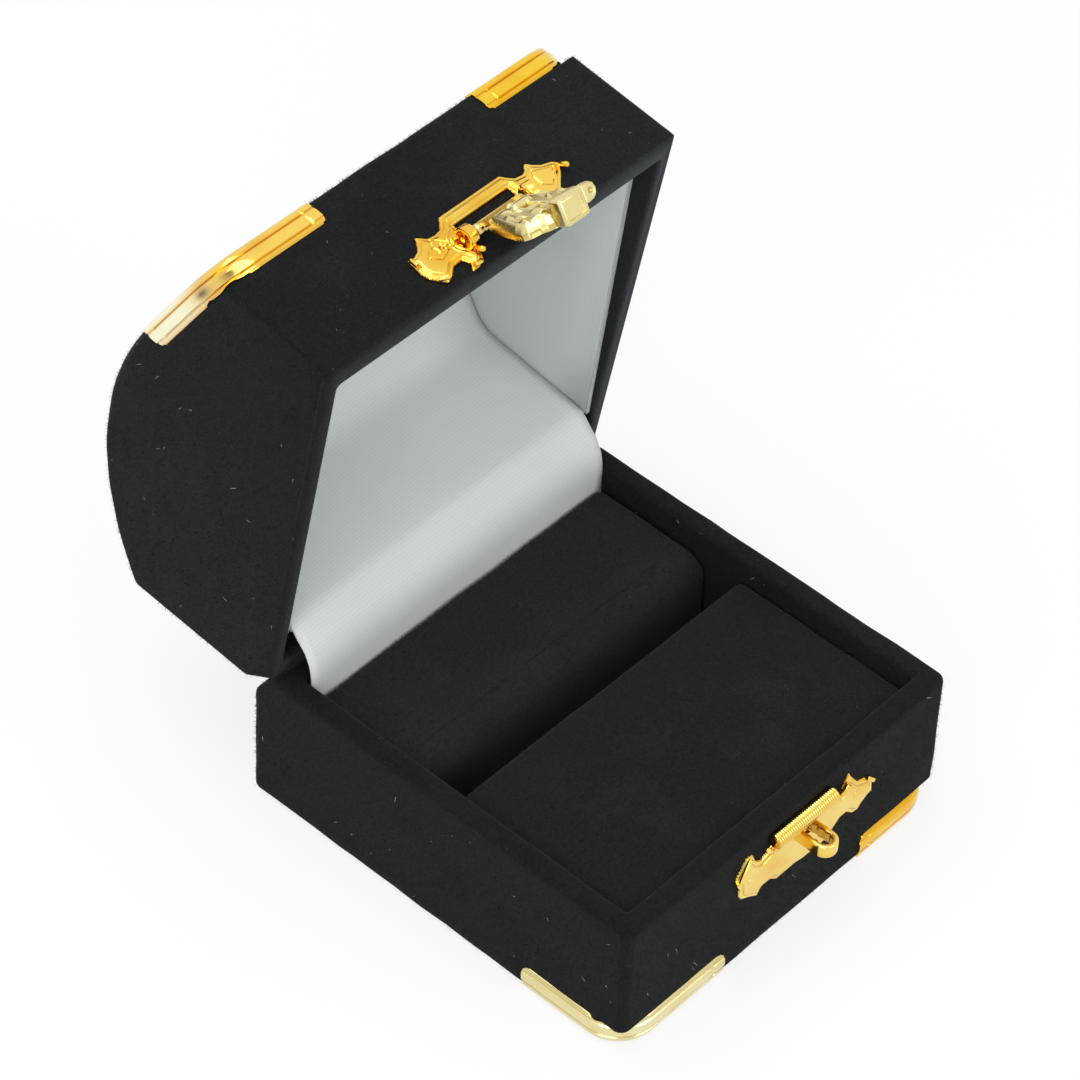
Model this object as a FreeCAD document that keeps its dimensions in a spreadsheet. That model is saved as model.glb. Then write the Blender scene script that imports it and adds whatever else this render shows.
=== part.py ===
"""Velvet-covered chest-shaped ring box with a hinged domed lid and a brass clasp.

Millimetres, +Z up, +X to the right as one faces the clasp, the front looks along -Y.
The origin is the centre of the footprint, on the surface the box stands on.
The lid's pieces are drawn with the lid shut and then turned open about the hinge pin;
the hasp is drawn hanging straight down and then swung out about its own pin.
"""

import FreeCAD, Part
import Sketcher
import math
import os

doc = FreeCAD.newDocument("ring_box")

# ---------------------------------------------------------------------------
# Driving dimensions
# ---------------------------------------------------------------------------

SIZES = {
    # base
    "base_width": 48.0,
    "base_depth": 50.8,
    "base_height": 17.7,
    "base_wall": 2.5,
    "base_floor": 1.3,
    "rear_bevel_run": 3.2,
    "rear_bevel_drop": 3.9,
    "rear_wall": 5.2,
    "corner_round": 1.0,
    "rim_round": 0.7,
    "velvet": 0.4,
    "bottom_sheet": 0.5,
    "cutter_spare": 1.0,
    # lid
    "lid_gap": 0.3,
    "lid_wall": 1.6,
    "lid_front_height": 16.4,
    "crown_rise": 9.8,
    "crown_radius": 37.3,
    "crown_offset": 4.65,
    "lid_bevel_rise": 3.3,
    "lid_rear_lean": 0.8,
    "lid_open_angle": 80.4,
    # hinge
    "hinge_length": 34.0,
    "knuckle_radius": 0.85,
    "hinge_pin_radius": 0.45,
    "running_clearance": 0.05,
    "knuckle_gap": 0.3,
    "leaf_thickness": 0.4,
    "leaf_height": 7.5,
    "rivet_radius": 0.6,
    "rivet_head": 0.25,
    "rivet_depth": 2.2,
    "rivet_spacing": 24.0,
    # ring pad
    "pad_clearance": 0.2,
    "pad_top_drop": 2.2,
    "pad_height": 9.0,
    "pad_card": 0.8,
    "slot_front": -0.2,
    "slot_width": 4.5,
    "pad_edge_round": 0.8,
    "slot_roll": 3.0,
    "pad_rear_gap": 1.3,
    # linings
    "card": 0.5,
    "satin": 0.3,
    "lining_gap": 3.2,
    "lining_crease_drop": 0.6,
    "lining_crease_run": 11.0,
    "lining_crease_skew": 0.3,
    "lining_corner_skew": 0.5,
    "lining_edge": 0.6,
    "cheek_front_edge": 2.9,
    "curtain_bulge": 6.0,
    "curtain_face": 1.3,
    "curtain_foot": 5.0,
    # corner trims
    "trim_thickness": 0.4,
    "trim_proud": 0.15,
    "base_trim_height": 3.0,
    "lid_trim_height": 2.8,
    "trim_return": 1.6,
    "trim_bend": 4.5,
    "base_left_leg": 15.0,
    "lid_left_leg": 13.3,
    "right_leg": 12.2,
    "base_side_leg": 13.0,
    "lid_side_leg": 14.4,
    "nail_radius": 0.25,
    "nail_head_radius": 0.42,
    "nail_head": 0.15,
    "nail_depth": 1.2,
    "nail_inset": 2.2,
    # clasp
    "clasp_offset": 1.9,
    "plate_thickness": 0.45,
    "catch_half_width": 10.5,
    "catch_height": 7.4,
    "catch_top_drop": 2.3,
    "roll_radius": 0.6,
    "roll_length": 9.0,
    "staple_width": 2.7,
    "staple_reach": 4.0,
    "staple_height": 1.6,
    "staple_wall": 0.55,
    "staple_drop": 4.2,
    "clasp_half_width": 10.6,
    "clasp_height": 6.6,
    "clasp_edge": 0.7,
    "plate_pin_radius": 0.35,
    "plate_pin_head_radius": 0.6,
    "plate_pin_share": 0.76,
    "hasp_pivot_rise": 3.3,
    "hasp_pivot_reach": 1.1,
    "hasp_barrel_radius": 0.65,
    "hasp_pin_radius": 0.28,
    "hasp_barrel_length": 6.6,
    "hasp_knuckle": 1.5,
    "hasp_neck_share": 0.60,
    "hasp_length": 11.5,
    "hasp_half_width": 4.3,
    "hasp_sheet": 0.4,
    "hasp_depth": 0.9,
    "hasp_back": 0.4,
    "hasp_neck_back": 0.25,
    "hasp_neck_depth": 0.5,
    "slot_clearance": 0.2,
    "catch_block_width": 3.0,
    "catch_block_length": 1.35,
    "catch_block_back": 0.3,
    "catch_block_face": 2.4,
    "thumb_tab_reach": 1.6,
    "thumb_tab_thickness": 0.5,
    "hasp_swing": 42.0,
}


def fill_sheet(name, entries, prefix):
    """A spreadsheet with one named row for each entry."""
    sheet = doc.getObject(name) or doc.addObject("Spreadsheet::Sheet", name)
    first = len(sheet.getUsedCells()) // 2 + 1
    for row, (alias, value) in enumerate(entries.items(), start=first):
        sheet.set(f"A{row}", alias)
        sheet.set(f"B{row}", prefix + str(value))
        sheet.setAlias(f"B{row}", alias)
    doc.recompute()


fill_sheet("Sizes", SIZES, "")

# Places that several pieces share, worked out from the driving dimensions.
PLACES = {
    "half_width": "Sizes.base_width / 2",
    "half_depth": "Sizes.base_depth / 2",
    "hinge_y": "Sizes.base_depth / 2 - Sizes.rear_bevel_run",
    "hinge_z": "Sizes.base_height",
    "rear_face": "Sizes.base_depth / 2 - Sizes.rear_wall",
    "rim_z": "Sizes.base_height + Sizes.lid_gap",
    "front_top": "Sizes.base_height + Sizes.lid_gap + Sizes.lid_front_height",
    "crown_z": "Sizes.base_height + Sizes.lid_gap + Sizes.lid_front_height + Sizes.crown_rise",
    "base_bevel": "sqrt(Sizes.rear_bevel_run ^ 2 + Sizes.rear_bevel_drop ^ 2)",
    "lid_bevel": "sqrt(Sizes.rear_bevel_run ^ 2 + Sizes.lid_bevel_rise ^ 2)",
    "crown_run": "Sizes.crown_offset + Sizes.base_depth / 2",
    "crown_fall": "Sizes.crown_radius - Sizes.crown_rise",
    "clasp_x": "Sizes.clasp_offset",
    "plate_face": "Sizes.base_depth / 2 + Sizes.plate_thickness",
    "hasp_y": "-Sizes.base_depth / 2 - Sizes.hasp_pivot_reach",
    "hasp_z": "Sizes.base_height + Sizes.lid_gap + Sizes.hasp_pivot_rise",
    "catch_top": "Sizes.base_height - Sizes.catch_top_drop",
    "staple_top": "Sizes.base_height - Sizes.staple_drop",
    "lining_y": "Sizes.base_depth / 2 - Sizes.rear_wall - Sizes.lining_gap",
    "pad_top": "Sizes.base_height - Sizes.pad_top_drop",
}
DEPENDENT_PLACES = {
    "slope": "asin(Sizes.crown_radius / sqrt(Places.crown_run ^ 2 + Places.crown_fall ^ 2))"
             " - atan(Places.crown_fall / Places.crown_run)",
    "curtain_top": "Places.hinge_z + (Places.hinge_y - Places.lining_y) * sin(Sizes.lid_open_angle * 1 deg)"
                   " + (Sizes.lining_edge + Sizes.lid_gap) * cos(Sizes.lid_open_angle * 1 deg)",
    "staple_far": "sqrt((Places.hasp_z - Places.staple_top + Sizes.staple_height) ^ 2"
                  " + (Places.hasp_y + Places.plate_face + Sizes.staple_reach) ^ 2)",
}

fill_sheet("Places", PLACES, "=")
fill_sheet("Places", DEPENDENT_PLACES, "=")


# ---------------------------------------------------------------------------
# Drawing helpers
# ---------------------------------------------------------------------------

def bind(thing, values):
    """Tie properties of an object to expressions on the sheets."""
    for name, expression in values.items():
        thing.setExpression(name, expression)
    return thing


def new_sketch(body, plane, name, offset="0"):
    """An empty sketch on one of its body's origin planes, moved along the plane's normal."""
    sketch = body.newObject("Sketcher::SketchObject", name)
    for feature in body.Origin.OriginFeatures:
        if feature.Role == plane:
            sketch.AttachmentSupport = (feature, [""])
    sketch.MapMode = "FlatFace"
    sketch.setExpression("AttachmentOffset.Base.z", offset)
    return sketch


def fix_point(sketch, geometry, end, across, up):
    """Hold one point of a sketch at two expressions; None leaves that direction free."""
    point = sketch.getPoint(geometry, end)
    for kind, rough, expression in (("DistanceX", point.x, across), ("DistanceY", point.y, up)):
        if expression is not None:
            index = sketch.addConstraint(Sketcher.Constraint(kind, -1, 1, geometry, end, rough))
            sketch.setExpression(f"Constraints[{index}]", expression)


def trace(sketch, corners, rough, arcs):
    """Draw a closed outline through corners given by two expressions each, from rough positions.

    arcs maps the number of a round side to its rough centre, the centre's height, and 1 where it
    runs anticlockwise or -1 where it runs clockwise. Every other side is straight.
    """
    count = len(corners)
    ends = []
    for k in range(count):
        start, finish = rough[k], rough[(k + 1) % count]
        if k in arcs:
            centre, _, turn = arcs[k]
            first, last = (start, finish) if turn > 0 else (finish, start)
            circle = Part.Circle(centre, FreeCAD.Vector(0, 0, 1), (first - centre).Length)
            angles = [math.atan2(p.y - centre.y, p.x - centre.x) for p in (first, last)]
            sketch.addGeometry(Part.ArcOfCircle(circle, *angles), False)
            ends.append((1, 2) if turn > 0 else (2, 1))
        else:
            sketch.addGeometry(Part.LineSegment(start, finish), False)
            ends.append((1, 2))
    for k in range(count):
        following = (k + 1) % count
        joint = Sketcher.Constraint("Coincident", k, ends[k][1], following, ends[following][0])
        sketch.addConstraint(joint)
    for k, (across, up) in enumerate(corners):
        fix_point(sketch, k, ends[k][0], across, up)
    for k, (_, centre_up, _) in arcs.items():
        fix_point(sketch, k, 3, None, centre_up)
    return sketch


def polygon(body, plane, name, corners, offset="0"):
    """A closed outline of straight edges, each corner given by two expressions."""
    count = len(corners)
    ring = [FreeCAD.Vector(math.cos(math.tau * k / count), math.sin(math.tau * k / count), 0)
            for k in range(count)]
    return trace(new_sketch(body, plane, name, offset), corners, ring, {})


def rectangle(body, plane, name, across, up, offset="0"):
    """A rectangle between two expressions each way."""
    corners = [(across[0], up[0]), (across[1], up[0]), (across[1], up[1]), (across[0], up[1])]
    return polygon(body, plane, name, corners, offset)


def pad(body, sketch, name, length, midplane=False):
    feature = body.newObject("PartDesign::Pad", name)
    feature.Profile = sketch
    feature.Midplane = midplane
    feature.setExpression("Length", length)
    return feature


def pocket(body, sketch, name, length=None, midplane=False, reverse=False):
    """Cut away a sketch's outline; with no length, right through on that side."""
    feature = body.newObject("PartDesign::Pocket", name)
    feature.Profile = sketch
    feature.Midplane = midplane
    feature.Reversed = reverse
    if length is None:
        feature.Type = 1
    else:
        feature.setExpression("Length", length)
    return feature


def edges_where(shape, test):
    """Names of the edges whose middle point and direction pass a test."""
    names = []
    for number, edge in enumerate(shape.Edges, start=1):
        middle = edge.valueAt((edge.FirstParameter + edge.LastParameter) / 2)
        start, finish = edge.Vertexes[0].Point, edge.Vertexes[-1].Point
        if test(middle, finish - start):
            names.append(f"Edge{number}")
    return names


def soften(body, name, test, radius):
    """Round the edges of the body's last feature that pass a test."""
    doc.recompute()
    last = body.Tip
    feature = body.newObject("PartDesign::Fillet", name)
    feature.Base = (last, edges_where(last.Shape, test))
    feature.setExpression("Radius", radius)
    return feature


def new_body(name):
    return doc.addObject("PartDesign::Body", name)


# Two points closer than this are the same place.
SAME_PLACE = 0.01


def near(first, second):
    return abs(first - second) < SAME_PLACE


def block(name, xs, ys, zs):
    """A plain box between two expressions each way."""
    box = doc.addObject("Part::Box", name)
    return bind(box, {
        "Length": f"({xs[1]}) - ({xs[0]})", "Placement.Base.x": xs[0],
        "Width": f"({ys[1]}) - ({ys[0]})", "Placement.Base.y": ys[0],
        "Height": f"({zs[1]}) - ({zs[0]})", "Placement.Base.z": zs[0],
    })


def rod(name, start, direction, length, radius):
    """A round rod from a start point along +X, -Y, +Y or +Z."""
    turns = {"+X": (FreeCAD.Vector(0, 1, 0), 90), "-Y": (FreeCAD.Vector(1, 0, 0), 90),
             "+Y": (FreeCAD.Vector(1, 0, 0), -90), "+Z": (FreeCAD.Vector(0, 0, 1), 0)}
    cylinder = doc.addObject("Part::Cylinder", name)
    cylinder.Placement = FreeCAD.Placement(FreeCAD.Vector(), FreeCAD.Rotation(*turns[direction]))
    return bind(cylinder, {
        "Height": length, "Radius": radius, "Placement.Base.x": start[0],
        "Placement.Base.y": start[1], "Placement.Base.z": start[2],
    })


def cut(name, base, tool):
    result = doc.addObject("Part::Cut", name)
    result.Base = base
    result.Tool = tool
    return result


def fuse(name, shapes):
    result = doc.addObject("Part::MultiFuse", name)
    result.Shapes = shapes
    result.Refine = True
    return result


def common(name, first, second):
    """Only what two shapes share."""
    result = doc.addObject("Part::Common", name)
    result.Base = first
    result.Tool = second
    return result


def group(name, shapes):
    result = doc.addObject("Part::Compound", name)
    result.Links = shapes
    return result


def mirrored(half):
    """Close a right-hand half outline, listed from bottom to top, with its left-hand mirror."""
    left = [(f"-({across})", up) for across, up in reversed(half)]
    return [corner for corner in half + left]


nodes = {}


def on_base(name, thing):
    """Name a finished piece that stays with the base."""
    thing.Label = name
    nodes[name] = thing


def on_lid(name, thing):
    """Name a finished piece of the lid and turn it open about the hinge pin."""
    thing.Label = name
    thing.Placement = FreeCAD.Placement(FreeCAD.Vector(), FreeCAD.Rotation(FreeCAD.Vector(-1, 0, 0), 1))
    angle = "(Sizes.lid_open_angle * 1 deg)"
    bind(thing, {
        "Placement.Rotation.Angle": angle,
        "Placement.Base.y": f"Places.hinge_y * (1 - cos{angle}) - Places.hinge_z * sin{angle}",
        "Placement.Base.z": f"Places.hinge_z * (1 - cos{angle}) + Places.hinge_y * sin{angle}",
    })
    nodes[name] = thing


# ---------------------------------------------------------------------------
# Profiles that the velvet, the shells and the linings share
# ---------------------------------------------------------------------------

def base_profile(inset, floor):
    """Side profile of the base, taken in by an inset, with its bevelled rear top edge."""
    rear = f"Places.half_depth - {inset}"
    front = f"-Places.half_depth + {inset}"
    top = f"Sizes.base_height - {inset}"
    bevel_low = (f"Sizes.base_height - Sizes.rear_bevel_drop"
                 f" + {inset} * (Sizes.rear_bevel_drop - Places.base_bevel) / Sizes.rear_bevel_run")
    bevel_high = (f"Places.hinge_y"
                  f" + {inset} * (Sizes.rear_bevel_run - Places.base_bevel) / Sizes.rear_bevel_drop")
    return [(front, floor), (rear, floor), (rear, bevel_low), (bevel_high, top), (front, top)]


def lid_rear(inset):
    """The lid's rear corners from the crown down to the rim, taken in by an inset."""
    bevel_high = (f"Places.rim_z + Sizes.lid_bevel_rise"
                  f" + {inset} * (Places.lid_bevel - Sizes.lid_bevel_rise) / Sizes.rear_bevel_run")
    bevel_low = (f"Places.hinge_y"
                 f" + {inset} * (Sizes.rear_bevel_run - Places.lid_bevel) / Sizes.lid_bevel_rise")
    return [(f"Places.half_depth + Sizes.lid_rear_lean - {inset}", None),
            (f"Places.half_depth - {inset}", bevel_high),
            (bevel_low, f"Places.rim_z + {inset}")]


def dome_outline(body, name, inset, rear_corners, foot, crown_end, offset="0"):
    """Side profile of the lid: front wall, straight slope, round crown and the given rear corners.

    The slope meets the crown where it is tangent to it, and an inset keeps both parallel to the
    outside. crown_end is roughly how far back the crown runs.
    """
    radius = f"(Sizes.crown_radius - {inset})"
    centre_up = "(Places.crown_z - Sizes.crown_radius)"
    front = f"-Places.half_depth + {inset}"
    back = rear_corners[0][0]
    back_run = f"({back} - Sizes.crown_offset)"
    corners = [
        (front, foot),
        (front, f"Places.front_top + {inset} * (tan(Places.slope) - 1 / cos(Places.slope))"),
        (f"Sizes.crown_offset - {radius} * sin(Places.slope)",
         f"{centre_up} + {radius} * cos(Places.slope)"),
        (back, f"{centre_up} + sqrt({radius} ^ 2 - {back_run} ^ 2)"),
    ] + rear_corners[1:]
    reach, rim, front_top = SIZES["base_depth"] / 2, doc.Places.rim_z, doc.Places.front_top
    centre = FreeCAD.Vector(SIZES["crown_offset"], doc.Places.crown_z - SIZES["crown_radius"], 0)
    meet = FreeCAD.Vector(-reach / 2, doc.Places.crown_z, 0)
    rough = [FreeCAD.Vector(-reach, rim, 0), FreeCAD.Vector(-reach, front_top, 0), meet,
             FreeCAD.Vector(crown_end, doc.Places.crown_z, 0)]
    rough += [FreeCAD.Vector(reach, rim + k, 0) for k in range(len(rear_corners) - 1, 0, -1)]
    sketch = new_sketch(body, "YZ_Plane", name, offset)
    return trace(sketch, corners, rough, {2: (centre, centre_up, -1)})


def hinge_recess(name, side):
    """Room for the hinge's knuckles in the edge of the base (side -1) or of the lid (side 1)."""
    reach = "(Sizes.knuckle_radius + Sizes.knuckle_gap)"
    heights = {-1: (f"Places.hinge_z - {reach}", f"Places.hinge_z + {reach}"),
               1: ("Places.hinge_z", f"Places.hinge_z + {reach}")}
    half = "(Sizes.hinge_length / 2 + Sizes.knuckle_gap)"
    depths = ("Places.rear_face - Sizes.cutter_spare", f"Places.hinge_y + {reach}")
    return block(name, (f"-{half}", half), depths, heights[side])


# ---------------------------------------------------------------------------
# Base: moulded shell, velvet cover and bottom sheet
# ---------------------------------------------------------------------------

shell_wall = "(Sizes.base_wall - Sizes.velvet)"

base_core = new_body("base_core")
core_profile = base_profile("Sizes.velvet", "Sizes.bottom_sheet")
pad(base_core, polygon(base_core, "YZ_Plane", "core_side", core_profile), "core_block",
    "Sizes.base_width - 2 * Sizes.velvet", midplane=True)
hollow = rectangle(base_core, "XY_Plane", "core_hollow",
                   (f"-Places.half_width + {shell_wall}", f"Places.half_width - {shell_wall}"),
                   (f"-Places.half_depth + {shell_wall}", "Places.rear_face + Sizes.velvet"),
                   "Sizes.bottom_sheet + Sizes.base_floor")
pocket(base_core, hollow, "core_tray", reverse=True)

base_blank = new_body("base_blank")
pad(base_blank, polygon(base_blank, "YZ_Plane", "blank_side", base_profile("0", "0")),
    "blank_block", "Sizes.base_width", midplane=True)
soften(base_blank, "blank_corners", lambda middle, run: near(run.x, 0) and near(run.y, 0),
       "Sizes.corner_round")
base_top = SIZES["base_height"]
bevel_edge = SIZES["base_depth"] / 2 - SIZES["rear_bevel_run"]
soften(base_blank, "blank_rim",
       lambda middle, run: near(middle.z, base_top) and middle.y < bevel_edge - SAME_PLACE,
       "Sizes.rim_round")
opening = rectangle(base_blank, "XY_Plane", "blank_opening",
                    ("-Places.half_width + Sizes.base_wall", "Places.half_width - Sizes.base_wall"),
                    ("-Places.half_depth + Sizes.base_wall", "Places.rear_face"))
pocket(base_blank, opening, "blank_inside", reverse=True)

bottom_sheet = new_body("bottom_sheet")
pad(bottom_sheet, rectangle(bottom_sheet, "XY_Plane", "sheet_outline",
                            ("-Places.half_width + Sizes.base_wall", "Places.half_width - Sizes.base_wall"),
                            ("-Places.half_depth + Sizes.base_wall", "Places.rear_face")),
    "sheet_pad", "Sizes.bottom_sheet")
on_base("base_bottom_sheet", bottom_sheet)


# ---------------------------------------------------------------------------
# Corner trims and their nails
# ---------------------------------------------------------------------------

def nail(name, foot, direction):
    """A small brass nail: a thin shank with a flat round head outside."""
    shank = rod(name + "_shank", foot, direction, "Sizes.nail_depth + Sizes.nail_head", "Sizes.nail_radius")
    x, y, z = foot
    length = "Sizes.nail_depth"
    heads = {"-Y": (x, f"{y} - {length}", z), "+X": (f"{x} + {length}", y, z)}
    head = rod(name + "_head", heads[direction], direction, "Sizes.nail_head", "Sizes.nail_head_radius")
    return fuse(name, [shank, head])


def mirrored_nail(name, y, z):
    """The same nail driven into the left side, so that its head looks along -X."""
    face = "-Places.half_width - Sizes.trim_proud"
    shank = rod(name + "_shank", (f"{face} - Sizes.nail_head", y, z), "+X",
                "Sizes.nail_depth + Sizes.nail_head", "Sizes.nail_radius")
    head = rod(name + "_head", (f"{face} - Sizes.nail_head", y, z), "+X",
               "Sizes.nail_head", "Sizes.nail_head_radius")
    return fuse(name, [shank, head])


def trim_nails(name, side, front_leg, side_leg, height, rise):
    """Two nails for one trim: one in the middle of each leg."""
    y = "-Places.half_depth - Sizes.trim_proud + Sizes.nail_depth"
    x = f"{side} * (Places.half_width - {front_leg} + Sizes.nail_inset)"
    front = nail(name + "_front", (x, y, height), "-Y")
    leg_y = f"-Places.half_depth + {side_leg} - Sizes.nail_inset"
    leg_z = f"{height} + ({side_leg} - Sizes.nail_inset) * {rise}"
    if side < 0:
        return [front, mirrored_nail(name + "_side", leg_y, leg_z)]
    x = "Places.half_width + Sizes.trim_proud - Sizes.nail_depth"
    return [front, nail(name + "_side", (x, leg_y, leg_z), "+X")]


def band(body, name, side, width, reach):
    """Plan of an L-shaped band round a front corner, its outside standing a little proud."""
    front_leg, side_leg = reach
    outer_x = f"{side} * (Places.half_width + Sizes.trim_proud)"
    inner_x = f"{side} * (Places.half_width + Sizes.trim_proud - {width})"
    centre_x = f"{side} * (Places.half_width + Sizes.trim_proud - Sizes.trim_bend)"
    end_x = f"{side} * (Places.half_width - {front_leg})"
    outer_y = "-Places.half_depth - Sizes.trim_proud"
    inner_y = f"-Places.half_depth - Sizes.trim_proud + {width}"
    centre_y = "-Places.half_depth - Sizes.trim_proud + Sizes.trim_bend"
    end_y = f"-Places.half_depth + {side_leg}"
    corners = [(end_x, outer_y), (centre_x, outer_y), (outer_x, centre_y), (outer_x, end_y),
               (inner_x, end_y), (inner_x, centre_y), (centre_x, inner_y), (end_x, inner_y)]
    edge_x, edge_y = SIZES["base_width"] / 2, SIZES["base_depth"] / 2
    bend, thick = SIZES["trim_bend"], SIZES["trim_thickness"]
    ring = [(2 * bend, 0), (bend, 0), (0, bend), (0, 2 * bend),
            (thick, 2 * bend), (thick, bend), (bend, thick), (2 * bend, thick)]
    rough = [FreeCAD.Vector(side * (edge_x - across), along - edge_y, 0) for across, along in ring]
    centre = FreeCAD.Vector(side * (edge_x - bend), bend - edge_y, 0)
    return trace(new_sketch(body, "XY_Plane", name), corners, rough,
                 {1: (centre, centre_y, side), 5: (centre, centre_y, -side)})


def corner_notch(name, side, low, high):
    """The rounding of a front corner that lets a trim bend round it."""
    outer_x = f"{side} * (Places.half_width + Sizes.trim_proud)"
    centre_x = f"{side} * (Places.half_width + Sizes.trim_proud - Sizes.trim_bend)"
    outer_y = "-Places.half_depth - Sizes.trim_proud"
    centre_y = "-Places.half_depth - Sizes.trim_proud + Sizes.trim_bend"
    xs = (outer_x, centre_x) if side < 0 else (centre_x, outer_x)
    corner = block(name + "_corner", xs, (outer_y, centre_y), (low, high))
    post = rod(name + "_post", (centre_x, centre_y, low), "+Z", f"({high}) - ({low})",
               "Sizes.trim_bend - Sizes.trim_thickness")
    return cut(name, corner, post)


def base_trim(name, side, front_leg, side_leg):
    """Pressed brass strip bent round a lower front corner, with a flange turned under the base."""
    body = new_body(name)
    reach = (front_leg, side_leg)
    pad(body, band(body, name + "_wall", side, "Sizes.trim_thickness", reach),
        name + "_wall_pad", "Sizes.base_trim_height")
    pad(body, band(body, name + "_under", side, "Sizes.trim_return", reach),
        name + "_under_pad", "Sizes.trim_thickness - Sizes.trim_proud")
    return body


BASE_LEGS = {"left": (-1, "Sizes.base_left_leg", "Sizes.base_side_leg"),
             "right": (1, "Sizes.right_leg", "Sizes.base_side_leg")}
LID_LEGS = {"left": (-1, "Sizes.lid_left_leg", "Sizes.lid_side_leg"),
            "right": (1, "Sizes.right_leg", "Sizes.lid_side_leg")}

base_nails = []
base_trims = {}
for side_name, (side, front_leg, side_leg) in BASE_LEGS.items():
    base_trims[side_name] = base_trim(f"base_trim_{side_name}", side, front_leg, side_leg)
    base_nails += trim_nails(f"base_nail_{side_name}", side, front_leg, side_leg,
                             "Sizes.base_trim_height / 2", "0")
base_nail_tool = group("base_nail_tool", base_nails)
for side_name, body in base_trims.items():
    on_base(f"base_corner_trim_{side_name}", cut(f"base_trim_{side_name}_bored", body, base_nail_tool))
on_base("base_trim_nails", group("base_nails", base_nails))


def slope_slab(name, low, high):
    """A slab parallel to the dome's straight slope, between two heights above it."""
    body = new_body(name)
    near = "(-Places.half_depth - Sizes.cutter_spare)"
    far = "(-Places.half_depth + Sizes.lid_side_leg + Sizes.cutter_spare)"
    corners = [(y, f"Places.front_top + ({y} + Places.half_depth) * tan(Places.slope) {height}")
               for y, height in ((near, low), (far, low), (far, high), (near, high))]
    pad(body, polygon(body, "YZ_Plane", name + "_side", corners), name + "_block",
        "Sizes.base_width + 2 * Sizes.cutter_spare", midplane=True)
    return body


def standing_band(name, side, width, reach):
    """A trim's band drawn tall enough for a sloping slab to cut it to shape."""
    body = new_body(name)
    pad(body, band(body, name + "_plan", side, width, reach), name + "_pad", "2 * Places.crown_z")
    return body


def lid_trim(name, side, front_leg, side_leg):
    """Pressed brass strip bent round an upper front corner of the lid.

    Its front leg lies level along the front wall and its side leg climbs with the slope of the
    dome; a narrow flange is turned over onto the dome along both.
    """
    proud_up = "+ Sizes.trim_proud / cos(Places.slope)"
    buried = "- (Sizes.trim_thickness - Sizes.trim_proud) / cos(Places.slope)"
    reach = (front_leg, side_leg)
    upright = standing_band(name + "_wall_band", side, "Sizes.trim_thickness", reach)
    flange = standing_band(name + "_over_band", side, "Sizes.trim_return", reach)
    wall_slab = slope_slab(name + "_wall_slab", "- Sizes.lid_trim_height", proud_up)
    over_slab = slope_slab(name + "_over_slab", buried, proud_up)
    return fuse(name, [common(name + "_wall", upright, wall_slab), common(name + "_over", flange, over_slab)])


lid_nails = []
lid_trims = {}
for side_name, (side, front_leg, side_leg) in LID_LEGS.items():
    lid_trims[side_name] = lid_trim(f"lid_trim_{side_name}", side, front_leg, side_leg)
    lid_nails += trim_nails(f"lid_nail_{side_name}", side, front_leg, side_leg,
                            "(Places.front_top - Sizes.lid_trim_height / 2)", "tan(Places.slope)")
lid_nail_tool = group("lid_nail_tool", lid_nails)
for side_name, body in lid_trims.items():
    on_lid(f"lid_corner_trim_{side_name}", cut(f"lid_trim_{side_name}_bored", body, lid_nail_tool))
on_lid("lid_trim_nails", group("lid_nails", lid_nails))


# ---------------------------------------------------------------------------
# Clasp: catch plate and staple on the base
# ---------------------------------------------------------------------------

def plate_pins(name, half_width, height, drop):
    """Two pins with round heads that hold a clasp plate to the front wall."""
    pins = []
    for sign in (-1, 1):
        x = f"Places.clasp_x + {sign} * {half_width} * Sizes.plate_pin_share"
        depth = "(Sizes.nail_depth + Sizes.nail_head)"
        shank = rod(f"{name}_{sign + 1}_shank", (x, f"-Places.plate_face + {depth}", height), "-Y",
                    depth, "Sizes.plate_pin_radius")
        head = rod(f"{name}_{sign + 1}_head", (x, "-Places.plate_face", height), "-Y",
                   drop, "Sizes.plate_pin_head_radius")
        pins.append(fuse(f"{name}_{sign + 1}", [shank, head]))
    return pins


def plate_outline(shares, half_width, base, height):
    """A plate's outline from shares of its half width and height, both halves alike."""
    half = [(f"{u} * {half_width}", f"{base} + {w} * {height}") for u, w in shares]
    return [(f"Places.clasp_x + ({across})", up) for across, up in mirrored(half)]


# Right half of the catch plate from the foot up: (share of half width, share of height).
CATCH_SHARES = [(0.20, 0.0), (0.36, 0.06), (0.50, 0.0), (0.62, 0.08), (0.75, 0.05), (0.86, 0.24),
                (0.97, 0.28), (1.0, 0.56), (0.92, 0.76), (0.76, 1.0), (0.64, 0.92), (0.58, 0.75),
                (0.48, 0.78), (0.44, 1.0)]

catch_plate = new_body("catch_sheet")
pad(catch_plate, polygon(catch_plate, "XZ_Plane", "catch_outline",
                         plate_outline(CATCH_SHARES, "Sizes.catch_half_width",
                                       "Places.catch_top - Sizes.catch_height", "Sizes.catch_height"),
                         "Places.half_depth"),
    "catch_sheet_pad", "Sizes.plate_thickness")
catch_roll = rod("catch_roll", ("Places.clasp_x - Sizes.roll_length / 2",
                                "-Places.half_depth - Sizes.roll_radius", "Places.catch_top"),
                 "+X", "Sizes.roll_length", "Sizes.roll_radius")
catch_pins = plate_pins("catch_pin", "Sizes.catch_half_width", "(Places.catch_top - Sizes.catch_height / 2)",
                        "Sizes.nail_head")
catch_pin_tool = group("catch_pin_tool", catch_pins)
on_base("catch_plate", cut("catch_plate_bored", fuse("catch_plate_whole", [catch_plate, catch_roll]),
                           catch_pin_tool))
on_base("catch_plate_pins", group("catch_pins", catch_pins))


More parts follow.
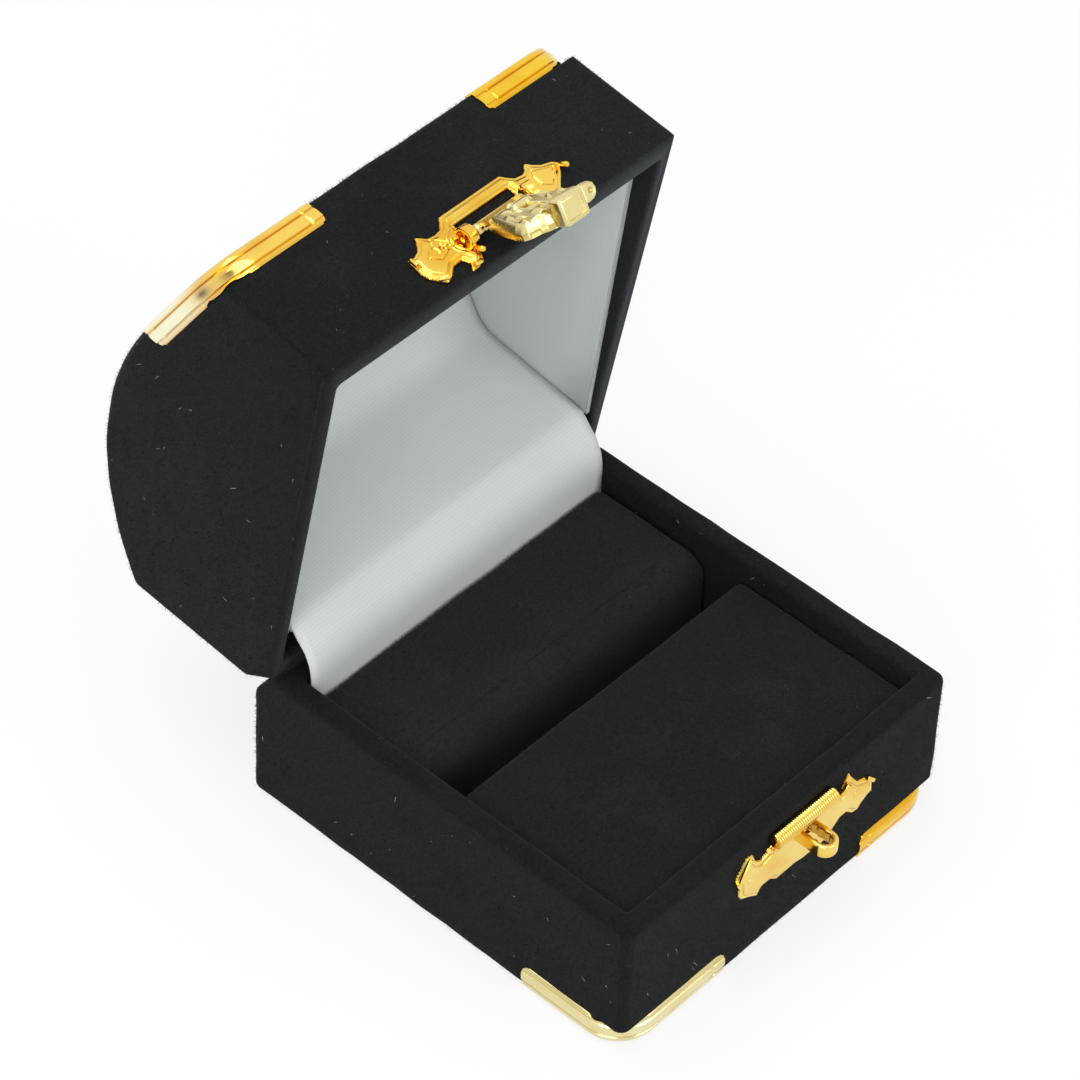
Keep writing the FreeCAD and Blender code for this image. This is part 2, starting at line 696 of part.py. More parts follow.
def staple_loop(name, half, reach, z_low, z_high):
    """A U-shaped block with a round nose, from the plate's face outwards."""
    nose_y = f"-Places.plate_face - ({reach}) + ({half})"
    legs = block(name + "_legs", (f"Places.clasp_x - ({half})", f"Places.clasp_x + ({half})"),
                 (nose_y, "-Places.plate_face"), (z_low, z_high))
    nose = rod(name + "_nose", ("Places.clasp_x", nose_y, z_low), "+Z", f"({z_high}) - ({z_low})", half)
    return fuse(name, [legs, nose])


staple_outer = staple_loop("staple_outer", "Sizes.staple_width / 2", "Sizes.staple_reach",
                           "Places.staple_top - Sizes.staple_height", "Places.staple_top")
staple_inner = staple_loop("staple_inner", "Sizes.staple_width / 2 - Sizes.staple_wall",
                           "Sizes.staple_reach - Sizes.staple_wall",
                           "Places.staple_top - 2 * Sizes.staple_height",
                           "Places.staple_top + Sizes.staple_height")
on_base("catch_staple", cut("staple", staple_outer, staple_inner))


# ---------------------------------------------------------------------------
# Clasp: plate on the lid, pivot pin and swinging hasp
# ---------------------------------------------------------------------------

# Right half of the clasp plate, from the window's top corner round the shield to the ridge bar.
CLASP_SHARES = [(0.39, 0.68), (0.39, 0.30), (0.45, 0.0), (0.62, 0.05), (0.80, 0.0), (0.86, 0.16),
                (1.0, 0.36), (0.97, 0.62), (0.90, 0.72), (0.86, 0.86), (0.70, 0.95), (0.60, 0.82),
                (0.50, 0.84), (0.42, 1.0)]

clasp_sheet = new_body("clasp_sheet")
pad(clasp_sheet, polygon(clasp_sheet, "XZ_Plane", "clasp_outline",
                         plate_outline(CLASP_SHARES, "Sizes.clasp_half_width",
                                       "Places.rim_z + Sizes.clasp_edge", "Sizes.clasp_height"),
                         "Places.half_depth"),
    "clasp_sheet_pad", "Sizes.plate_thickness")

hasp_half = "(Sizes.hasp_barrel_length / 2)"
knuckle_start = "(Sizes.hasp_barrel_length / 2 + Sizes.slot_clearance)"
clasp_knuckles = []
for sign in (-1, 1):
    low = f"Places.clasp_x + {knuckle_start}"
    if sign < 0:
        low = f"Places.clasp_x - {knuckle_start} - Sizes.hasp_knuckle"
    clasp_knuckles.append(rod(f"clasp_knuckle_{sign + 1}", (low, "Places.hasp_y", "Places.hasp_z"), "+X",
                              "Sizes.hasp_knuckle", "Sizes.hasp_barrel_radius"))
    clasp_knuckles.append(block(f"clasp_lug_{sign + 1}", (low, f"{low} + Sizes.hasp_knuckle"),
                                ("Places.hasp_y", "-Places.half_depth"),
                                ("Places.hasp_z - Sizes.hasp_barrel_radius",
                                 "Places.hasp_z + Sizes.hasp_barrel_radius / 2")))
pin_half = f"({knuckle_start} + Sizes.hasp_knuckle)"
pivot_pin = rod("pivot_pin", (f"Places.clasp_x - {pin_half}", "Places.hasp_y", "Places.hasp_z"), "+X",
                f"2 * {pin_half}", "Sizes.hasp_pin_radius")
clasp_pins = plate_pins("clasp_pin", "Sizes.clasp_half_width",
                        "(Places.rim_z + Sizes.clasp_edge + Sizes.clasp_height / 2)", "Sizes.nail_head")
clasp_pin_tool = group("clasp_pin_tool", clasp_pins)
clasp_tools = group("clasp_tools", clasp_pins + [pivot_pin])
on_lid("clasp_plate", cut("clasp_plate_bored", fuse("clasp_plate_whole", [clasp_sheet] + clasp_knuckles),
                          clasp_tools))
on_lid("clasp_plate_pins", group("clasp_pins", clasp_pins))
on_lid("clasp_pivot_pin", group("clasp_pivot", [pivot_pin]))

slot_low = "(Places.staple_far + Sizes.slot_clearance)"
slot_high = "(Places.hasp_z - Places.staple_top - Sizes.slot_clearance)"
block_top = f"(Places.hasp_z - {slot_low})"
hasp_foot = "(Places.hasp_z - Sizes.hasp_length)"

neck_half = "(Sizes.hasp_neck_share * Sizes.hasp_half_width)"

# Right half of the hasp from its foot up: (share of half width, share of its length from the pivot).
HASP_SHARES = [(0.40, 1.0), (0.58, 0.94), (0.60, 0.84), (1.0, 0.66), (1.0, 0.57), (0.66, 0.13),
               (0.60, 0.08)]
HASP_HOLLOW_SHARES = [(1.0, 0.57), (0.66, 0.13)]


def hasp_outline(shares, inward):
    """The hasp's outline, hanging down; inward is the thickness its hollow leaves all round."""
    half = [(f"{u} * Sizes.hasp_half_width - {inward}",
             f"Places.hasp_z - {w} * Sizes.hasp_length - {inward}") for u, w in shares]
    return [(f"Places.clasp_x + ({across})", up) for across, up in mirrored(half)]


hasp_sheet = new_body("hasp_sheet")
pad(hasp_sheet, polygon(hasp_sheet, "XZ_Plane", "hasp_outline", hasp_outline(HASP_SHARES, "0"),
                        "-Places.hasp_y + Sizes.hasp_back"),
    "hasp_sheet_pad", "Sizes.hasp_depth")
hasp_hollow = new_body("hasp_hollow")
pad(hasp_hollow, polygon(hasp_hollow, "XZ_Plane", "hasp_inside",
                         hasp_outline(HASP_HOLLOW_SHARES, "Sizes.hasp_sheet"),
                         "-Places.hasp_y + Sizes.hasp_back"),
    "hasp_hollow_pad", "Sizes.hasp_depth - Sizes.hasp_sheet")
hasp_barrel = rod("hasp_barrel", (f"Places.clasp_x - {hasp_half}", "Places.hasp_y", "Places.hasp_z"), "+X",
                  "Sizes.hasp_barrel_length", "Sizes.hasp_barrel_radius")
hasp_neck = block("hasp_neck", (f"Places.clasp_x - {neck_half}", f"Places.clasp_x + {neck_half}"),
                  ("Places.hasp_y - Sizes.hasp_neck_back - Sizes.hasp_neck_depth",
                   "Places.hasp_y - Sizes.hasp_neck_back"),
                  (f"Places.hasp_z - {HASP_HOLLOW_SHARES[-1][1]} * Sizes.hasp_length - Sizes.hasp_sheet / 2",
                   "Places.hasp_z"))
catch_block = block("catch_block",
                    ("Places.clasp_x - Sizes.catch_block_width / 2",
                     "Places.clasp_x + Sizes.catch_block_width / 2"),
                    ("Places.hasp_y - Sizes.catch_block_face", "Places.hasp_y + Sizes.catch_block_back"),
                    (hasp_foot, f"{hasp_foot} + Sizes.catch_block_length"))
tab_root = "(Places.clasp_x + Sizes.catch_block_width / 2)"
tab_radius = "((Sizes.catch_block_face - Sizes.hasp_back) / 2)"
tab_y = f"(Places.hasp_y - Sizes.hasp_back - {tab_radius})"
thumb_tab = block("thumb_tab",
                  (f"{tab_root} - Sizes.hasp_sheet", f"{tab_root} + Sizes.thumb_tab_reach - {tab_radius}"),
                  (f"{tab_y} - {tab_radius}", f"{tab_y} + {tab_radius}"),
                  (hasp_foot, f"{hasp_foot} + Sizes.thumb_tab_thickness"))
thumb_end = rod("thumb_end", (f"{tab_root} + Sizes.thumb_tab_reach - {tab_radius}", tab_y, hasp_foot), "+Z",
                "Sizes.thumb_tab_thickness", tab_radius)
hasp_bore = rod("hasp_bore", (f"Places.clasp_x - {pin_half}", "Places.hasp_y", "Places.hasp_z"), "+X",
                f"2 * {pin_half}", "Sizes.hasp_pin_radius + Sizes.running_clearance")
hasp_slot = block("hasp_slot",
                  ("Places.clasp_x - Sizes.staple_width / 2 - Sizes.slot_clearance",
                   "Places.clasp_x + Sizes.staple_width / 2 + Sizes.slot_clearance"),
                  ("Places.hasp_y - Sizes.catch_block_face", "Places.hasp_y"),
                  (block_top, f"Places.hasp_z - {slot_high}"))
hasp_whole = fuse("hasp_whole", [hasp_sheet, hasp_barrel, hasp_neck, catch_block, thumb_tab, thumb_end])
hasp = cut("hasp_pierced", hasp_whole, group("hasp_tools", [hasp_hollow, hasp_bore, hasp_slot]))
hasp.Label = "hasp"
hasp.Placement = FreeCAD.Placement(FreeCAD.Vector(), FreeCAD.Rotation(FreeCAD.Vector(-1, 0, 0), 1))
lid_turn = "(Sizes.lid_open_angle * 1 deg)"
hasp_turn = "((Sizes.lid_open_angle + Sizes.hasp_swing) * 1 deg)"
pivot_y = (f"Places.hinge_y + (Places.hasp_y - Places.hinge_y) * cos{lid_turn}"
           f" + (Places.hasp_z - Places.hinge_z) * sin{lid_turn}")
pivot_z = (f"Places.hinge_z - (Places.hasp_y - Places.hinge_y) * sin{lid_turn}"
           f" + (Places.hasp_z - Places.hinge_z) * cos{lid_turn}")
bind(hasp, {
    "Placement.Rotation.Angle": hasp_turn,
    "Placement.Base.y": f"{pivot_y} - Places.hasp_y * cos{hasp_turn} - Places.hasp_z * sin{hasp_turn}",
    "Placement.Base.z": f"{pivot_z} + Places.hasp_y * sin{hasp_turn} - Places.hasp_z * cos{hasp_turn}",
})
nodes["hasp"] = hasp


# ---------------------------------------------------------------------------
# Lid: moulded shell and velvet cover
# ---------------------------------------------------------------------------

lid_inset = "(Sizes.lid_wall - Sizes.velvet)"
lid_back_reach = SIZES["base_depth"] / 2
lid_wall_reach = lid_back_reach - SIZES["rear_wall"]
lining_reach = lid_wall_reach - SIZES["lining_gap"]
crown_lining_reach = lining_reach - SIZES["lining_crease_run"]

lid_core = new_body("lid_core")
pad(lid_core, dome_outline(lid_core, "lid_core_side", "Sizes.velvet", lid_rear("Sizes.velvet"),
                           "Places.rim_z + Sizes.velvet", lid_back_reach),
    "lid_core_block", "Sizes.base_width - 2 * Sizes.velvet", midplane=True)
core_back = [("Places.rear_face + Sizes.velvet", None),
             ("Places.rear_face + Sizes.velvet", "Places.rim_z - Sizes.cutter_spare")]
pocket(lid_core, dome_outline(lid_core, "lid_core_space", lid_inset, core_back,
                              "Places.rim_z - Sizes.cutter_spare", lid_wall_reach),
       "lid_core_hollow", f"Sizes.base_width - 2 * {lid_inset}", midplane=True)

lid_blank = new_body("lid_blank")
pad(lid_blank, dome_outline(lid_blank, "lid_blank_side", "0", lid_rear("0"), "Places.rim_z", lid_back_reach),
    "lid_blank_block", "Sizes.base_width", midplane=True)
rim = SIZES["base_height"] + SIZES["lid_gap"]
front_top = rim + SIZES["lid_front_height"]
half_width = SIZES["base_width"] / 2
soften(lid_blank, "lid_blank_corners",
       lambda middle, run: (near(abs(middle.x), half_width) and middle.z > rim + SAME_PLACE)
       or (near(middle.x, 0) and middle.z > front_top - SAME_PLACE), "Sizes.corner_round")
blank_back = [("Places.rear_face", None), ("Places.rear_face", "Places.rim_z - Sizes.cutter_spare")]
pocket(lid_blank, dome_outline(lid_blank, "lid_blank_space", "Sizes.lid_wall", blank_back,
                               "Places.rim_z - Sizes.cutter_spare", lid_wall_reach),
       "lid_blank_hollow", "Sizes.base_width - 2 * Sizes.lid_wall", midplane=True)


# ---------------------------------------------------------------------------
# Hinge: two leaves, pin and rivets
# ---------------------------------------------------------------------------

BASE_KNUCKLES = (0, 2, 4)
LID_KNUCKLES = (1, 3)
knuckle_pitch = f"(Sizes.hinge_length / {len(BASE_KNUCKLES + LID_KNUCKLES)})"


def hinge_knuckles(name, places, side):
    """The knuckles of one leaf, each with the short flange that joins it to the leaf."""
    pieces = []
    for place in places:
        low = f"-Sizes.hinge_length / 2 + {place} * {knuckle_pitch} + Sizes.knuckle_gap / 2"
        length = f"({knuckle_pitch} - Sizes.knuckle_gap)"
        pieces.append(rod(f"{name}_{place}", (low, "Places.hinge_y", "Places.hinge_z"), "+X",
                          length, "Sizes.knuckle_radius"))
        outer = f"Places.hinge_z + {side} * Sizes.knuckle_radius"
        inner = f"Places.hinge_z + {side} * (Sizes.knuckle_radius - Sizes.leaf_thickness)"
        heights = (outer, inner) if side < 0 else (inner, outer)
        pieces.append(block(f"{name}_flange_{place}", (low, f"{low} + {length}"),
                            ("Places.rear_face - Sizes.leaf_thickness", "Places.hinge_y"), heights))
    return pieces


def hinge_leaf(name, places, side):
    """A steel leaf against the inside of the rear wall, with its knuckles."""
    edge = f"(Places.hinge_z + {side} * (Sizes.knuckle_radius + Sizes.knuckle_gap))"
    far = f"({edge} + {side} * Sizes.leaf_height)"
    heights = (far, edge) if side < 0 else (edge, far)
    plate = block(name + "_plate", ("-Sizes.hinge_length / 2", "Sizes.hinge_length / 2"),
                  ("Places.rear_face - Sizes.leaf_thickness", "Places.rear_face"), heights)
    risers = []
    for place in places:
        low = f"-Sizes.hinge_length / 2 + {place} * {knuckle_pitch} + Sizes.knuckle_gap / 2"
        start = f"Places.hinge_z + {side} * Sizes.knuckle_radius"
        heights = (edge, start) if side < 0 else (start, edge)
        risers.append(block(f"{name}_riser_{place}", (low, f"{low} + {knuckle_pitch} - Sizes.knuckle_gap"),
                            ("Places.rear_face - Sizes.leaf_thickness", "Places.rear_face"), heights))
    return fuse(name + "_whole", [plate] + risers + hinge_knuckles(name + "_knuckle", places, side))


def rivets(name, side):
    """Two rivets through a leaf into the rear wall."""
    found = []
    z = f"Places.hinge_z + {side} * (Sizes.knuckle_radius + Sizes.knuckle_gap + Sizes.leaf_height / 2)"
    for sign in (-1, 1):
        x = f"{sign} * Sizes.rivet_spacing / 2"
        face = "Places.rear_face - Sizes.leaf_thickness"
        shank = rod(f"{name}_{sign + 1}_shank", (x, face, z), "+Y",
                    "Sizes.leaf_thickness + Sizes.rivet_depth", "Sizes.rivet_radius")
        head = rod(f"{name}_{sign + 1}_head", (x, f"{face} - Sizes.rivet_head", z), "+Y",
                   "Sizes.rivet_head", "2 * Sizes.rivet_radius")
        found.append(fuse(f"{name}_{sign + 1}", [shank, head]))
    return found


hinge_bore = rod("hinge_bore", ("-Sizes.hinge_length / 2", "Places.hinge_y", "Places.hinge_z"), "+X",
                 "Sizes.hinge_length", "Sizes.hinge_pin_radius + Sizes.running_clearance")
hinge_pin = rod("hinge_pin_rod", ("-Sizes.hinge_length / 2", "Places.hinge_y", "Places.hinge_z"), "+X",
                "Sizes.hinge_length", "Sizes.hinge_pin_radius")
on_base("hinge_pin", hinge_pin)

base_rivets = rivets("base_rivet", -1)
lid_rivets = rivets("lid_rivet", 1)
base_rivet_tool = group("base_rivet_tool", base_rivets)
lid_rivet_tool = group("lid_rivet_tool", lid_rivets)
on_base("hinge_leaf_base", cut("base_leaf", hinge_leaf("base_leaf", BASE_KNUCKLES, -1),
                               group("base_leaf_tools", base_rivets + [hinge_bore])))
on_lid("hinge_leaf_lid", cut("lid_leaf", hinge_leaf("lid_leaf", LID_KNUCKLES, 1),
                             group("lid_leaf_tools", lid_rivets + [hinge_bore])))
on_base("hinge_rivets_base", group("base_rivets", base_rivets))
on_lid("hinge_rivets_lid", group("lid_rivets", lid_rivets))


# ---------------------------------------------------------------------------
# Shells and covers, cut where trims, nails, pins and hinge go in
# ---------------------------------------------------------------------------

base_recess = hinge_recess("base_hinge_recess", -1)
lid_recess = hinge_recess("lid_hinge_recess", 1)
base_notches = []
lid_notches = []
for side_name, side in (("left", -1), ("right", 1)):
    base_notches.append(corner_notch(f"base_notch_{side_name}", side, "-Sizes.cutter_spare",
                                     "Sizes.base_trim_height"))
    notch = corner_notch(f"lid_notch_{side_name}_full", side, "Places.rim_z", "2 * Places.crown_z")
    slab = slope_slab(f"lid_notch_{side_name}_slab", "- Sizes.lid_trim_height", "+ Sizes.lid_trim_height")
    lid_notches.append(common(f"lid_notch_{side_name}", notch, slab))
base_fixings = [base_nail_tool, catch_pin_tool, base_rivet_tool, base_recess] + base_notches
lid_fixings = [lid_nail_tool, clasp_pin_tool, lid_rivet_tool, lid_recess] + lid_notches
on_base("base_shell", cut("base_shell_bored", base_core, group("base_shell_tools", base_fixings)))
on_lid("lid_shell", cut("lid_shell_bored", lid_core, group("lid_shell_tools", lid_fixings)))

base_skin = cut("base_skin", base_blank, base_core)
lid_skin = cut("lid_skin", lid_blank, lid_core)
base_cover_tools = group("base_cover_tools", base_fixings + list(base_trims.values()))
lid_cover_tools = group("lid_cover_tools", lid_fixings + list(lid_trims.values()))
on_base("base_velvet_cover", cut("base_cover", base_skin, base_cover_tools))
on_lid("lid_velvet_cover", cut("lid_cover", lid_skin, lid_cover_tools))


# ---------------------------------------------------------------------------
# Ring pad: support card and two foam halves with the slot between them
# ---------------------------------------------------------------------------

pad_side = "(Places.half_width - Sizes.base_wall - Sizes.pad_clearance)"
pad_front = "(-Places.half_depth + Sizes.base_wall + Sizes.pad_clearance)"
pad_rear = "(Places.rear_face - Sizes.pad_rear_gap)"
pad_foot = "(Places.pad_top - Sizes.pad_height)"

# The card is folded: a flat top under the foam and two flaps that stand on the tray's floor.
card_body = new_body("pad_card")
card_floor = "Sizes.bottom_sheet + Sizes.base_floor"
card_inside = f"({pad_side} - Sizes.pad_card)"
card_under = f"{pad_foot} - Sizes.pad_card"
card_half = [(card_inside, card_under), (card_inside, card_floor), (pad_side, card_floor), (pad_side, pad_foot)]
card_corners = mirrored(card_half)
pad(card_body, polygon(card_body, "XZ_Plane", "pad_card_outline", card_corners, f"-{pad_rear}"),
    "pad_card_sheet", f"{pad_rear} - {pad_front}")
on_base("pad_support_card", card_body)


def ring_pad(name, front, rear, lip_y, roll):
    """One half of the ring pad; its lip beside the slot is rounded by its own radius."""
    body = new_body(name + "_foam")
    plan = rectangle(body, "XY_Plane", name + "_outline", (f"-{pad_side}", pad_side), (front, rear), pad_foot)
    pad(body, plan, name + "_block", "Sizes.pad_height")
    top = SIZES["base_height"] - SIZES["pad_top_drop"]
    soften(body, name + "_lip", lambda middle, run: near(middle.z, top) and near(middle.y, lip_y), roll)
    soften(body, name + "_edge",
           lambda middle, run: near(middle.z, top) and near(run.y, 0)
           and abs(middle.y - lip_y) > SIZES["slot_roll"] + SAME_PLACE, "Sizes.pad_edge_round")
    on_base(name, body)


ring_pad("ring_pad_front", pad_front, "Sizes.slot_front", SIZES["slot_front"], "Sizes.pad_edge_round")
ring_pad("ring_pad_rear", "Sizes.slot_front + Sizes.slot_width", pad_rear,
         SIZES["slot_front"] + SIZES["slot_width"], "Sizes.slot_roll")


# ---------------------------------------------------------------------------
# Lid lining: card former, satin, side cheeks, and the curtain over the hinge
# ---------------------------------------------------------------------------

def lining_back(inset):
    """Rear corners of the lining: a crease from the crown down to the upright part over the hinge."""
    crease_y = f"Places.lining_y - Sizes.lining_crease_run - Sizes.lining_crease_skew * ({inset})"
    corner_z = f"Places.front_top - Sizes.lining_crease_drop - Sizes.lining_corner_skew * ({inset})"
    upright_y = f"Places.lining_y - ({inset})"
    return [(crease_y, None), (upright_y, corner_z), (upright_y, "Places.rim_z + Sizes.lining_edge")]


def lining_sheet(name, start, thickness, width, foot):
    """A thin bent sheet inside the dome, from one depth below the shell to the next."""
    prisms = []
    for label, depth, drop, spare in (("outside", start, "0", "0"),
                                      ("inside", f"{start} + {thickness}", "Sizes.lid_wall", "Sizes.lid_wall")):
        body = new_body(f"{name}_{label}")
        back = lining_back(f"{depth} - Sizes.pad_clearance")
        back[-1] = (back[-1][0], f"{back[-1][1]} - {drop}")
        outline = dome_outline(body, f"{name}_{label}_side", f"(Sizes.lid_wall + {depth})", back,
                               f"{foot} - {drop}", crown_lining_reach)
        pad(body, outline, f"{name}_{label}_block", f"{width} + 2 * {spare}", midplane=True)
        prisms.append(body)
    return cut(name + "_sheet", *prisms)


cheek_depth = "(Sizes.card + Sizes.satin)"
lining_width = f"(Sizes.base_width - 2 * Sizes.lid_wall - 2 * {cheek_depth} - Sizes.pad_clearance)"
lining_foot = "Places.rim_z + Sizes.cheek_front_edge"
on_lid("lid_lining_card", lining_sheet("lining_card", "Sizes.pad_clearance", "Sizes.card",
                                       lining_width, lining_foot))
on_lid("lid_satin_lining", lining_sheet("lining_satin", "Sizes.pad_clearance + Sizes.card", "Sizes.satin",
                                        lining_width, lining_foot))

for side_name, side in (("left", -1), ("right", 1)):
    for piece, depth, thickness in (("card", "0", "Sizes.card"), ("satin", "Sizes.card", "Sizes.satin")):
        body = new_body(f"cheek_{piece}_{side_name}")
        start = f"-Places.half_width + Sizes.lid_wall + {depth}"
        if side > 0:
            start = f"Places.half_width - Sizes.lid_wall - {depth} - {thickness}"
        back = [("Places.lining_y - Sizes.pad_clearance", None),
                ("Places.lining_y - Sizes.pad_clearance", "Places.rim_z + Sizes.lining_edge")]
        outline = dome_outline(body, f"cheek_{piece}_{side_name}_side", "(Sizes.lid_wall + Sizes.pad_clearance)",
                               back, lining_foot, lining_reach, start)
        pad(body, outline, f"cheek_{piece}_{side_name}_sheet", thickness)
        on_lid(f"lid_{'cheek_card' if piece == 'card' else 'satin_cheek'}_{side_name}", body)

# The curtain hangs from the lining's rear edge, bulges forward and is tucked down behind the pad.
curtain = new_body("curtain")
curtain_y = "(Places.rear_face - Sizes.curtain_face)"
curtain_turn = "(Places.hinge_z - Sizes.pad_clearance)"
curtain_end = f"{curtain_turn} - Sizes.curtain_foot"
curtain_rise = f"(Places.curtain_top - {curtain_turn})"
curtain_corners = []
bulge_y = f"{curtain_y} + Sizes.curtain_bulge"
for bulge in ("Sizes.curtain_bulge", "(Sizes.curtain_bulge - Sizes.satin)"):
    top_y = f"{bulge_y} - sqrt({bulge} ^ 2 - {curtain_rise} ^ 2)"
    curtain_corners.append((top_y, "Places.curtain_top"))
    curtain_corners.append((f"{bulge_y} - {bulge}", curtain_turn))
    curtain_corners.append((f"{bulge_y} - {bulge}", curtain_end))
curtain_outline = curtain_corners[:3] + curtain_corners[:2:-1]
turn_y, turn_z = lid_wall_reach - SIZES["curtain_face"], SIZES["base_height"]
bulge, sheet = SIZES["curtain_bulge"], SIZES["satin"]
rough_ring = [(bulge / 2, bulge), (0, 0), (0, -bulge), (sheet, -bulge), (sheet, 0), (bulge / 2 + sheet, bulge)]
rough_corners = [FreeCAD.Vector(turn_y + y, turn_z + z, 0) for y, z in rough_ring]
bulge_centre = FreeCAD.Vector(turn_y + bulge, turn_z, 0)
curtain_sketch = trace(new_sketch(curtain, "YZ_Plane", "curtain_side", f"-{pad_side}"), curtain_outline,
                       rough_corners, {0: (bulge_centre, curtain_turn, 1), 4: (bulge_centre, curtain_turn, -1)})
pad(curtain, curtain_sketch, "curtain_sheet", f"2 * {pad_side}")
on_base("satin_curtain", curtain)


# ---------------------------------------------------------------------------
# Check every object, then write the pieces
# ---------------------------------------------------------------------------

doc.recompute()
failed = [thing.Name for thing in doc.Objects if "Invalid" in thing.State or "Error" in thing.State]
if failed:
    raise SystemExit("failed objects: " + ", ".join(failed))
for name, thing in nodes.items():
    shape = thing.Shape
    if shape.isNull() or not shape.isValid() or not shape.Solids:
        raise SystemExit(f"{name}: no valid solid")

os.makedirs("parts", exist_ok=True)
for name, thing in nodes.items():
    thing.Shape.exportStep(os.path.join("parts", name + ".step"))
    box = thing.Shape.BoundBox
    print(f"{name:26s} solids {len(thing.Shape.Solids)}  volume {thing.Shape.Volume:9.2f}"
          f"  x {box.XMin:7.2f} {box.XMax:7.2f}  y {box.YMin:7.2f} {box.YMax:7.2f}"
          f"  z {box.ZMin:7.2f} {box.ZMax:7.2f}")
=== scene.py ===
import math

import bmesh
import bpy
import numpy as np
from mathutils import Matrix, Vector, noise
from mathutils.bvhtree import BVHTree


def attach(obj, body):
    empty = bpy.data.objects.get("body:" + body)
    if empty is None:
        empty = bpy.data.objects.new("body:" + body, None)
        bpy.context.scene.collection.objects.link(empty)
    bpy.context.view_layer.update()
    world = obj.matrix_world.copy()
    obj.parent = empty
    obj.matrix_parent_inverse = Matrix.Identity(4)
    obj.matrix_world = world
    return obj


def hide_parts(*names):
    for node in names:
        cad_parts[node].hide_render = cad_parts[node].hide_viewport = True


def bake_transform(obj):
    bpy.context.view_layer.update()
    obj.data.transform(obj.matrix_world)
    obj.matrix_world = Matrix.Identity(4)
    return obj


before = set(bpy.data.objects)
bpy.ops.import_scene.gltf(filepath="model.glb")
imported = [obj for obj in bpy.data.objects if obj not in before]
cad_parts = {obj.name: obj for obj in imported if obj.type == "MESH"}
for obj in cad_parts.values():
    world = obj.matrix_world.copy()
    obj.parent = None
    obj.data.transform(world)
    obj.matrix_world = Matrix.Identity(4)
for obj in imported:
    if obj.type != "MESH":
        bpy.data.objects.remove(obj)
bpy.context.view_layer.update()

# ---------------------------------------------------------------------------
# Black velvet: a short nylon pile flocked on a paper back, cut to shape and
# glued tight round the shells. Light grazes along the pile and greys its edges,
# which is painted paler on the marked pieces, and it picks up specks of lint.
# ---------------------------------------------------------------------------

def fill(tree, sockets, values):
    """Set sockets by name: a number or colour is put in, another node's output is linked."""
    for title, value in values.items():
        if isinstance(value, bpy.types.NodeSocket):
            tree.links.new(value, sockets[title])
        elif sockets[title].type == "RGBA":
            sockets[title].default_value = (*value, 1.0)
        else:
            sockets[title].default_value = value


def node(tree, kind, values=(), **options):
    """A node with its options set and its sockets filled."""
    made = tree.nodes.new(kind)
    for option, value in options.items():
        setattr(made, option, value)
    fill(tree, made.inputs, dict(values))
    return made


def new_finish(name):
    finish = bpy.data.materials.new(name)
    finish.use_nodes = True
    return finish, finish.node_tree, finish.node_tree.nodes["Principled BSDF"]


def pattern_space(tree, scale=(1, 1, 1), source="Object"):
    """Coordinates stretched by a scale, from the piece's own space or from its UV map."""
    place = node(tree, "ShaderNodeTexCoord").outputs[source]
    return node(tree, "ShaderNodeMapping", {"Scale": scale, "Vector": place}).outputs["Vector"]


def speckle(tree, space, scale, detail=2, rough=0.5):
    return node(tree, "ShaderNodeTexNoise", {"Scale": scale, "Detail": detail, "Roughness": rough,
                                             "Vector": space}).outputs["Fac"]


def graded(tree, value, *stops):
    """A value turned into a colour between two stops of (place, colour)."""
    ramp = node(tree, "ShaderNodeValToRGB", {"Fac": value})
    for mark, (place, colour) in zip(ramp.color_ramp.elements, stops):
        mark.position = place
        mark.color = (*colour, 1.0)
    return ramp.outputs["Color"]


def remapped(tree, value, low, high):
    """A value from 0 to 1 spread between two others."""
    return node(tree, "ShaderNodeMapRange", {"To Min": low, "To Max": high, "Value": value}).outputs["Result"]


def mixed(tree, share, first, second, way="MIX"):
    return node(tree, "ShaderNodeMix", {"Factor": share, "A": first, "B": second}, data_type="RGBA",
                blend_type=way).outputs["Result"]


def marked(tree, title):
    """A measure that a piece keeps on its points; 0 where it keeps none."""
    return node(tree, "ShaderNodeAttribute", attribute_name=title).outputs["Fac"]


def bumped(tree, height, depth, strength):
    """Bump from a height, depth in metres."""
    return node(tree, "ShaderNodeBump", {"Distance": depth, "Strength": strength,
                                         "Height": height}).outputs["Normal"]


def velvet(name, deep, wear_and_highlight, gloss):
    finish, tree, shader = new_finish(name)
    space = pattern_space(tree)
    pile = speckle(tree, space, 3200, 4, 0.75)
    brushed = speckle(tree, space, 140, 3, 0.6)
    tone = graded(tree, pile, (0.32, deep), (0.72, wear_and_highlight))
    shade = graded(tree, brushed, (0.30, (0.88,) * 3), (0.70, (1.16,) * 3))
    # Painted light: where a piece marks its points, the pile is painted paler, standing in for grazing sheen and light.
    paler = graded(tree, pile, (0.30, (0.034, 0.039, 0.041)), (0.70, (0.070, 0.079, 0.083)))
    colour = mixed(tree, marked(tree, "rub_marks_and_painted_light"), mixed(tree, 1.0, tone, shade, "MULTIPLY"), paler)
    lint = node(tree, "ShaderNodeTexVoronoi", {"Scale": 560, "Vector": space})
    specks = graded(tree, lint.outputs["Distance"], (0.0, (1, 1, 1)), (0.045, (0, 0, 0)))
    fill(tree, shader.inputs, {
        "Base Color": mixed(tree, specks, colour, (0.11, 0.11, 0.105)), "Roughness": remapped(tree, pile, 0.82, 1.0),
        "Specular IOR Level": 0.06, "Sheen Weight": gloss, "Sheen Roughness": 0.42,
        "Sheen Tint": (0.64, 0.72, 0.76), "Normal": bumped(tree, pile, 0.00012, 0.8)})
    return finish


black_velvet = velvet("black_velvet", (0.0050, 0.0055, 0.0054), (0.0145, 0.0156, 0.0152), 0.085)


